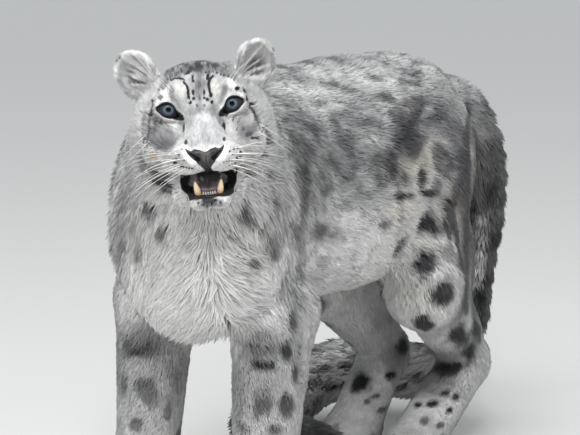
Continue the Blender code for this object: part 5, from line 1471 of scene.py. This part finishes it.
COAT_MATERIAL, SKIN_MATERIAL = make_coat_material(), make_skin_material()
EYE_MATERIAL = painted_material("eye", 0.60, 900.0, 0.95, 1.05, coat=0.35, specular=0.0)
NOSE_MATERIAL = painted_material("nose_leather", 0.42, 500.0, 0.82, 1.12, bump=0.7, specular=0.45, bump_scale=650.0)
TEETH_MATERIAL = painted_material("teeth", 0.30, 260.0, 0.9, 1.06, bump=0.1, specular=0.5)
TONGUE_MATERIAL = painted_material("tongue", 0.38, 500.0, 0.85, 1.1, bump=0.6, bump_scale=900.0)
WHISKER_MATERIAL = painted_material("whisker", 0.40, 300.0, 0.95, 1.03)
CLAW_MATERIAL = painted_material("claw", 0.35, 300.0, 0.85, 1.1)


def mesh_from(name, points, faces, colours=None, smooth=True):
    mesh = bpy.data.meshes.new(name)
    mesh.from_pydata([tuple(v) for v in points], [], [tuple(int(i) for i in f) for f in faces])
    mesh.update()
    if colours is not None:
        c = mesh.color_attributes.new("tint", "FLOAT_COLOR", "POINT")
        rgba = np.ones((len(points), 4), np.float32)
        rgba[:, :3] = colours
        c.data.foreach_set("color", rgba.ravel())
    if smooth:
        mesh.shade_smooth()
    return mesh


def place_piece(name, mesh, material, nodes=(), shift=True):
    if shift:
        mesh.transform(Matrix.Translation(Vector(SHIFT)))
    mesh.materials.clear()
    mesh.materials.append(material)
    obj = bpy.data.objects.new(name, mesh)
    bpy.context.scene.collection.objects.link(obj)
    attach(obj, "root")
    if nodes:
        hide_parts(*nodes)
    return obj


# ------------------------------------------------------------------ skin
skin_depth = SHARE[:, 0]
over = SKIN_P + SKIN_N * skin_depth[:, None]
skin_tint = tint(over, SKIN_N, SHARE)
wet = np.zeros(len(SKIN_P))
near = np.nonzero((np.abs(skin_q[:, 0]) < 5.5) & (skin_q[:, 1] > -8) & (skin_q[:, 2] < -4.5) & (skin_q[:, 2] > -13.5))[0]
inside = smoothstep(0.0048, 0.0022, MOUTH.distance(OVER[near]))
place, _ = in_frame(SKIN_P[near])
# the back of the mouth: dark gum, painted near-black for the shade inside the mouth
gum_and_shade = inside * smoothstep(4.6, 3.6, skin_q[near, 1])
skin_tint[near] += (np.array((0.012, 0.008, 0.009)) - skin_tint[near]) * gum_and_shade[:, None]
front = inside * (1 - gum_and_shade)
skin_tint[near] += (np.array((0.014, 0.012, 0.013)) - skin_tint[near]) * front[:, None]
wet[near] = inside
for s in (1, -1):
    k = np.nonzero((s * skin_q[:, 0] > 0.5) & (np.hypot(s * skin_q[:, 0] - EYE_MIDDLE[0], skin_q[:, 2]) < 2.6) & (skin_q[:, 1] > -3.4))[0]
    wet[k] = smoothstep(0.14, 0.04, inside_curve(np.stack([s * skin_q[k, 0] - EYE_MIDDLE[0], skin_q[k, 2]], 1), EYE_HOLE))
rgba = np.ones((len(SKIN_P), 4), np.float32)
# painted shade: the skin is a little darker than the coat over it, for the shade under the fur
rgba[:, :3] = skin_tint * 0.92
c = skin_mesh.color_attributes.new("tint", "FLOAT_COLOR", "POINT")
c.data.foreach_set("color", rgba.ravel())
w = skin_mesh.attributes.new("wet", "FLOAT", "POINT")
w.data.foreach_set("value", wet.astype(np.float32))
skin_mesh.shade_smooth()
FLESH = ["head", "neck", "trunk", "lower_jaw", "ear_left", "ear_right"] + ["tail_%d" % (i + 1) for i in range(5)]
FLESH += ["%s_%s" % (a, b) for a in ("foreleg", "forepaw", "hindleg", "hindfoot") for b in ("left", "right")]
place_piece("skin", skin_mesh, SKIN_MATERIAL, FLESH)

for label in sorted(set(LABELS)):
    obj = coat_piece(label)
    obj.data.materials.append(COAT_MATERIAL)
    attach(obj, "root")


# ------------------------------------------------------------------ eyes
def eyeball(side, rings=72, around=112):
    """An eyeball with the bulge of its cornea, turned to look ahead of the animal and a little to its left."""
    s = 1 if side == "left" else -1
    centre = head_point(s * EYE_MIDDLE[0], EYE_MIDDLE[1], EYE_MIDDLE[2])
    gaze = unit(CAM_AT - centre)
    up = unit(HEAD[:, 2] - (HEAD[:, 2] @ gaze) * gaze)
    left = np.cross(up, gaze)
    theta = np.concatenate([np.linspace(0, 0.72, 50), np.linspace(0.75, math.pi, rings - 50)])
    phi = np.arange(around) / around * 2 * math.pi
    points, colours = [centre + gaze * (EYE_RADIUS + 0.0011)], [(0.002, 0.002, 0.002)]
    rng = np.random.default_rng(5 if s > 0 else 6)
    wave = sum(np.cos(np.outer(phi, [k]) + rng.uniform(0, 6.28)).ravel() * rng.uniform(0.3, 1) for k in (19, 27, 34, 41, 50))
    wave = wave / np.abs(wave).max()
    for t in theta[1:]:
        r = EYE_RADIUS + 0.0011 * smoothstep(0.62, 0.12, np.array([t]))[0]
        d = np.outer(np.cos(phi), left) + np.outer(np.sin(phi), up)
        p = centre + r * (math.cos(t) * gaze + math.sin(t) * d)
        size = t / 0.545
        a = (size - 0.38) / 0.62
        inner, middle, rim = np.array((0.075, 0.095, 0.105)), np.array((0.072, 0.102, 0.138)), np.array((0.020, 0.028, 0.040))
        if a < 0.45:
            base = inner + (middle - inner) * np.clip(a / 0.45, 0, 1)
        else:
            base = middle + (rim - middle) * np.clip((a - 0.45) / 0.5, 0, 1)
        c = base[None] * (1 + 0.22 * wave[:, None] * np.sin(np.clip(a, 0, 1) * 2.6 + 0.3))
        # painted shadow of the upper lid: the top of the iris is darkened
        painted_lid_shadow = 1 - 0.62 * smoothstep(0.10, 0.90, np.sin(phi) * math.sin(t) / math.sin(0.545))
        c = c * painted_lid_shadow[:, None]
        c = c + (np.array((0.004, 0.004, 0.005)) - c) * smoothstep(0.400, 0.345, np.array([size]))[0]
        c = c + (np.array((0.026, 0.025, 0.027)) - c) * smoothstep(0.93, 1.03, np.array([size]))[0]
        points.extend(p)
        colours.extend(c)
    faces = [(0, 1 + j, 1 + (j + 1) % around) for j in range(around)]
    for i in range(len(theta) - 2):
        a, b = 1 + i * around, 1 + (i + 1) * around
        faces += [(a + j, b + j, b + (j + 1) % around, a + (j + 1) % around) for j in range(around)]
    last = len(points)
    back = 1 + (len(theta) - 2) * around
    return mesh_from("eye_" + side, points, faces, np.array(colours))


for side in ("left", "right"):
    mesh = eyeball(side)
    bm = bmesh.new()
    bm.from_mesh(mesh)
    bmesh.ops.remove_doubles(bm, verts=bm.verts[:], dist=1e-6)
    bmesh.ops.recalc_face_normals(bm, faces=bm.faces[:])
    bm.to_mesh(mesh)
    bm.free()
    mesh.shade_smooth()
    place_piece("eyeball_" + side, mesh, EYE_MATERIAL, ["eye_" + side])


# ------------------------------------------------------------------ nose leather
def nose_mesh(nu=111, nv=64):
    """The nose leather: the pad with its two nostrils, whose slits run out to its upper corners, and a groove down its middle."""
    w = np.linspace(-1, 1, nu)
    x1 = 2.12 * np.sign(w) * np.abs(w) ** 1.15
    top = np.interp(np.abs(x1), *zip(*NOSE_TOP_EDGE)) + 0.05
    low = np.interp(np.abs(x1), *zip(*NOSE_LOW_EDGE)) - 0.05
    v = np.linspace(0, 1, nv)[:, None]
    z, x = (top + (low - top) * v).ravel(), np.repeat(x1[None], nv, 0).ravel()
    y = np.full(len(x), 7.6)
    for _ in range(18):
        p = np.array(EYES_AT) + np.stack([x, y, z], 1) @ HEAD.T * 0.01
        y = y - np.clip(field(p) * 100, -0.3, 0.6) * 0.9
        y = np.maximum(y, 4.6)
    ax = np.abs(x)
    edge = np.maximum(-inside_curve(np.stack([x, z], 1), NOSE_SHAPE, 4), 0)
    rise = -0.17 + 0.24 * smoothstep(-0.02, 0.16, edge)
    # nostrils
    t = np.clip((ax - 0.62) / 1.25, 0, 1)
    mid_z = -5.34 + 0.98 * t ** 0.9
    across = (z - mid_z) / (0.20 - 0.08 * t)
    slit = np.exp(-across ** 2 * 1.4) * smoothstep(0.48, 0.80, ax) * smoothstep(1.98, 1.6, ax)
    hole = np.exp(-(((ax - 0.88) / 0.27) ** 2 + ((z + 5.20) / 0.24) ** 2) ** 1.4)
    wing = np.exp(-(((ax - 1.15) / 0.42) ** 2 + ((z + 4.52) / 0.20) ** 2))
    groove = np.exp(-(x / 0.07) ** 2) * smoothstep(-4.6, -5.2, z)
    y = y + rise + 0.12 * wing + 0.07 * np.exp(-(x / 0.5) ** 2) * smoothstep(-6.2, -5.6, z) - 0.62 * np.maximum(hole, 0.55 * slit) - 0.11 * groove
    p = np.array(EYES_AT) + np.stack([x, y, z], 1) @ HEAD.T * 0.01
    # the middle of the pad is a greyed brown, the rest black
    grain = noise(p, 0.004, 50) - 0.5
    brown = smoothstep(0.78, 0.30, ax + 0.5 * smoothstep(-4.9, -6.1, z) + 0.25 * grain) * smoothstep(-6.15, -5.3, z) * (1 - np.clip(1.7 * np.maximum(hole, slit), 0, 1)) * smoothstep(0.0, 0.12, edge)
    brown *= 1 - 0.55 * groove
    centre, black = np.array((0.060, 0.050, 0.047)), np.array((0.011, 0.011, 0.013))
    c = black + (centre - black) * brown[:, None]
    c = c * (1 + 0.35 * grain[:, None])
    idx = np.arange(nu * nv).reshape(nv, nu)
    faces = [(idx[i, j], idx[i + 1, j], idx[i + 1, j + 1], idx[i, j + 1]) for i in range(nv - 1) for j in range(nu - 1)]
    # the back, 9 mm inside
    rim = np.concatenate([idx[0, :], idx[1:, -1], idx[-1, -2::-1], idx[-2:0:-1, 0]])
    back = p[rim] - HEAD[:, 1] * 0.009
    n, m = len(p), len(rim)
    mid = n + m
    p = np.vstack([p, back, back.mean(0)[None]])
    c = np.vstack([c, np.repeat(black[None], m + 1, 0)])
    faces += [(rim[j], rim[(j + 1) % m], n + (j + 1) % m, n + j) for j in range(m)]
    faces += [(n + j, n + (j + 1) % m, mid) for j in range(m)]
    mesh = mesh_from("nose", p, faces, np.clip(c, 0.003, 1))
    bm = bmesh.new()
    bm.from_mesh(mesh)
    bmesh.ops.recalc_face_normals(bm, faces=bm.faces[:])
    bm.to_mesh(mesh)
    bm.free()
    mesh.shade_smooth()
    return mesh


place_piece("nose_leather", nose_mesh(), NOSE_MATERIAL, ["nose"])


# ------------------------------------------------------------------ tubes, teeth, tongue
def tube(line, radii, sides=6):
    """Points and faces of a closed tube along a line with a radius at each point."""
    line = np.asarray(line, float)
    t = np.gradient(line, axis=0)
    t /= np.linalg.norm(t, axis=1)[:, None]
    ref = np.array((0.0, 0.0, 1.0)) if abs(t[0, 2]) < 0.8 else np.array((1.0, 0.0, 0.0))
    points, faces = [], []
    for i, (c, d, r) in enumerate(zip(line, t, radii)):
        a = unit(ref - (ref @ d) * d)
        ref = a
        b = np.cross(d, a)
        ang = np.arange(sides) / sides * 2 * math.pi
        points.extend(c + r * (np.outer(np.cos(ang), a) + np.outer(np.sin(ang), b)))
        if i:
            k, m = (i - 1) * sides, i * sides
            faces += [(k + j, k + (j + 1) % sides, m + (j + 1) % sides, m + j) for j in range(sides)]
    n = len(points)
    points.append(line[0] - t[0] * radii[0] * 0.3)
    points.append(line[-1] + t[-1] * radii[-1])
    last = (len(line) - 1) * sides
    faces += [(n, (j + 1) % sides, j) for j in range(sides)]
    faces += [(n + 1, last + j, last + (j + 1) % sides) for j in range(sides)]
    return np.array(points), faces


def joined(name, parts, colours):
    points, faces, c, base = [], [], [], 0
    for (p, f), col in zip(parts, colours):
        points.append(p)
        faces += [tuple(i + base for i in face) for face in f]
        col = np.asarray(col, float)
        c.append(np.repeat(col[None], len(p), 0) if col.ndim == 1 else col)
        base += len(p)
    return mesh_from(name, np.vstack(points), faces, np.vstack(c))


def curved_tooth(root, tip, radius, lean, steps=14, sides=14):
    """A canine: a cone that curves back a little and ends in a rounded point."""
    a, b = np.array(root, float), np.array(tip, float)
    t = np.linspace(0, 1, steps)
    line = a + (b - a) * t[:, None] + np.array(lean) * (t * (1 - t))[:, None] * 4
    line = np.array(EYES_AT) + line @ HEAD.T * 0.01
    r = radius * 0.01 * (1 - 0.10 * t - 0.74 * t ** 2.6) * np.where(t > 0.97, 0.6, 1)
    p, f = tube(line, r, sides)
    tt = np.concatenate([np.repeat(t, sides), [0, 1]])
    root_c, tip_c = np.array((0.42, 0.24, 0.11)), np.array((0.66, 0.53, 0.36))
    return (p, f), root_c + (tip_c - root_c) * smoothstep(0.0, 0.5, tt)[:, None]


teeth, tints = [], []
for s in (1, -1):
    item = curved_tooth((s * 1.16, 3.25, -9.35), (s * 1.46, 3.60, -7.80), 0.37, (s * 0.02, 0.10, 0))
    teeth.append(item[0])
    tints.append(item[1])
    for i in range(3):
        x = s * (0.13 + 0.25 * i)
        item = curved_tooth((x, 3.72 - 0.06 * i, -9.35), (x * 1.03, 3.84 - 0.06 * i, -9.02 + 0.02 * i), 0.115, (0, 0.02, 0), 8, 10)
        teeth.append(item[0])
        tints.append(np.array((0.40, 0.38, 0.355)) * np.ones((len(item[0][0]), 1)))
place_piece("teeth", joined("teeth", teeth, tints), TEETH_MATERIAL)


def tongue_mesh():
    bm = bmesh.new()
    bmesh.ops.create_uvsphere(bm, u_segments=48, v_segments=32, radius=1)
    v = np.array([x.co[:] for x in bm.verts])
    faces = [tuple(x.index for x in f.verts) for f in bm.faces]
    bm.free()
    w = v * (1.45, 2.75, 0.66)
    up = smoothstep(-0.2, 0.5, v[:, 2])
    w[:, 2] -= 0.20 * np.exp(-(w[:, 0] / 0.28) ** 2) * up
    w[:, 2] += 0.16 * smoothstep(0.4, 1.0, v[:, 1])
    w = w @ turn(ax=-3).T + (0, 0.25, -8.98)
    p = np.array(EYES_AT) + w @ HEAD.T * 0.01
    c = np.array((0.27, 0.20, 0.235)) * (0.75 + 0.35 * noise(p, 0.004, 60))[:, None]
    # painted shade: darker along the middle groove; a touch lighter on top
    c = c * (1 - 0.35 * np.exp(-(w[:, 0] / 0.2) ** 2))[:, None] + 0.02 * up[:, None]
    return mesh_from("tongue", p, faces, c)


place_piece("tongue_flesh", tongue_mesh(), TONGUE_MATERIAL, ["tongue"])

# ------------------------------------------------------------------ whiskers
rng = np.random.default_rng(77)
parts, tints = [], []


def whisker(start, direction, droop, size, thick=0.00042):
    """A whisker: root on the coat, a direction and a droop in the head's frame."""
    t = np.linspace(0, 1, 12)
    line = start + direction * (size * t)[:, None] + droop * (size * t ** 2)[:, None]
    parts.append(tube(line, thick * (1 - 0.85 * t), 5))
    tints.append(np.array((0.80, 0.79, 0.76)))


def coat_point(x, z, y=8.0):
    """The coat's outside ahead of a place in the head's frame, cm."""
    hit, n, _, _ = OUT_TREE.ray_cast(Vector(head_point(x, y, z)), Vector(-HEAD[:, 1]))
    return np.array(hit), np.array(n)


LOW, HIGH = [np.array(v) - SHIFT for v in cad_box]


def fitted(start, d, droop, size):
    """The length of a whisker, shortened where it would leave the model's room."""
    while size > 0.02:
        end = start + d * size + droop * size
        if (end > LOW - 0.019).all() and (end < HIGH + 0.019).all():
            return size
        size *= 0.94
    return size


for s in (1, -1):
    for row, (z, xs) in enumerate(((-4.4, (2.7, 3.3)), (-5.0, (2.4, 3.0, 3.6)), (-5.6, (2.2, 2.8, 3.4)), (-6.2, (2.2, 2.9, 3.5)), (-6.7, (2.6,)))):
        for i, x in enumerate(xs):
            start, n = coat_point(s * (x + rng.uniform(-0.1, 0.1)), z + rng.uniform(-0.1, 0.1))
            start = start - n * 0.0015
            fan = 0.16 - 0.14 * row
            d = HEAD @ unit((s * 0.92, 0.05 - 0.16 * i + rng.uniform(-0.08, 0.08), fan + rng.uniform(-0.07, 0.07)))
            droop = HEAD @ np.array((s * -0.08, -0.34 - rng.uniform(0, 0.15), -0.16 - rng.uniform(0, 0.14)))
            whisker(start, d, droop, fitted(start, d, droop, rng.uniform(0.050, 0.078)), 0.00028)
    for x, z, l in ((2.9, 2.15, 0.034), (3.4, 2.25, 0.040), (3.9, 2.1, 0.030), (6.6, -2.6, 0.030), (6.3, -3.3, 0.034)):
        start, n = coat_point(s * x, z)
        start = start - n * 0.0015
        d = HEAD @ unit((s * 0.45, 0.3, 0.75 if z > 0 else -0.3))
        droop = HEAD @ np.array((s * 0.25, -0.45, -0.15 if z > 0 else -0.3))
        whisker(start, d, droop, l, 0.00022)
place_piece("whiskers", joined("whiskers", parts, tints), WHISKER_MATERIAL)

# ------------------------------------------------------------------ claws
parts, tints = [], []
for m in MASSES:
    if m.is_blob and m.part.startswith(("foreleg", "hindleg")) and abs(m.c[2] - 0.0205) < 1e-6:
        f = m.rot @ np.array((0, -1.0, 0))
        t = np.linspace(0, 1, 9)
        start = m.c + f * (m.r[1] - 0.010) + (0, 0, 0.001)
        line = start + f * (0.0155 * t)[:, None] + np.array((0, 0, 1)) * (0.004 * t - 0.0125 * t ** 2)[:, None]
        parts.append(tube(line, 0.0022 * (1 - 0.9 * t ** 1.6) + 0.00015, 8))
        tints.append(np.array((0.11, 0.095, 0.085)))
place_piece("claws", joined("claws", parts, tints), CLAW_MATERIAL)

# ------------------------------------------------------------------ floor, light and camera
bm = bmesh.new()
bmesh.ops.create_grid(bm, x_segments=1, y_segments=1, size=45)
floor_mesh = bpy.data.meshes.new("floor")
bm.to_mesh(floor_mesh)
bm.free()
floor = bpy.data.objects.new("floor", floor_mesh)
bpy.context.scene.collection.objects.link(floor)
m, nt, s = node_material("floor")
grain = nt.nodes.new("ShaderNodeTexNoise")
grain.inputs["Scale"].default_value = 3.0
mixer = nt.nodes.new("ShaderNodeMix")
mixer.data_type = "RGBA"
mixer.inputs[6].default_value, mixer.inputs[7].default_value = (0.56, 0.557, 0.55, 1), (0.59, 0.587, 0.58, 1)
link(nt, grain.outputs["Fac"], mixer.inputs[0])
link(nt, mixer.outputs[2], s.inputs["Base Color"])
s.inputs["Roughness"].default_value = 0.9
floor_mesh.materials.append(m)

world = bpy.data.worlds.new("studio")
world.use_nodes = True
bpy.context.scene.world = world
bpy.context.scene.view_settings.view_transform = "Standard"
nt = world.node_tree
sky = nt.nodes["Background"]
sky.inputs["Color"].default_value = (0.95, 0.98, 1.0, 1)
# brighter overhead, and a dim front wall for the eyes and the mouth
direction = nt.nodes.new("ShaderNodeTexCoord").outputs["Generated"]
split = nt.nodes.new("ShaderNodeSeparateXYZ")
link(nt, direction, split.inputs[0])
up = nt.nodes.new("ShaderNodeMapRange")
up.interpolation_type = "SMOOTHSTEP"
up.inputs["From Min"].default_value, up.inputs["From Max"].default_value = -0.05, 0.85
up.inputs["To Min"].default_value, up.inputs["To Max"].default_value = 0.46, 1.05
link(nt, split.outputs[2], up.inputs["Value"])
ahead = nt.nodes.new("ShaderNodeVectorMath")
ahead.operation = "DOT_PRODUCT"
ahead.inputs[1].default_value = (0.485, -0.875, 0.05)
link(nt, direction, ahead.inputs[0])
front = nt.nodes.new("ShaderNodeMapRange")
front.interpolation_type = "SMOOTHSTEP"
front.inputs["From Min"].default_value, front.inputs["From Max"].default_value = 0.55, 0.93
front.inputs["To Min"].default_value, front.inputs["To Max"].default_value = 1.0, 0.28
link(nt, ahead.outputs["Value"], front.inputs["Value"])
level = nt.nodes.new("ShaderNodeMath")
level.operation = "MULTIPLY"
link(nt, up.outputs["Result"], level.inputs[0])
link(nt, front.outputs["Result"], level.inputs[1])
link(nt, level.outputs[0], sky.inputs["Strength"])


def softbox(name, at, look, size, watts, colour=(1, 1, 1)):
    lamp = bpy.data.lights.new(name, "AREA")
    lamp.shape, lamp.size, lamp.energy, lamp.color = "DISK", size, watts, colour
    obj = bpy.data.objects.new(name, lamp)
    obj.location = at
    obj.rotation_mode = "QUATERNION"
    obj.rotation_quaternion = (Vector(look) - Vector(at)).to_track_quat("-Z", "Y")
    bpy.context.scene.collection.objects.link(obj)
    return obj


softbox("key", (0.4, -2.3, 3.3), (0.05, -0.1, 0.35), 2.8, 132)
softbox("fill", (3.4, -1.6, 2.2), (0.05, -0.1, 0.35), 2.6, 34)
# a small lamp for the glint in the eyes
softbox("glint", tuple(CAM_AT * 0.85 + np.array((0.10, 0.0, 1.25))), (0.08, -0.45, 0.55), 0.22, 14)
# a broad soft light from the front, low enough for breast and legs
# (it is left out of reflections, so that the pupils stay black)
softbox("front", (0.9, -3.4, 0.95), (0.05, -0.1, 0.30), 2.4, 19).visible_glossy = False

cam = bpy.data.cameras.new("camera")
cam.sensor_width, cam.lens = 36, 36 * FOCAL / FRAME_W
cam.clip_end = 200
camera = bpy.data.objects.new("camera", cam)
camera.location = Vector(CAM_AT + SHIFT)
camera.rotation_mode = "QUATERNION"
camera.rotation_quaternion = Vector(CAM_FORWARD).to_track_quat("-Z", "Y")
bpy.context.scene.collection.objects.link(camera)
bpy.context.scene.camera = camera
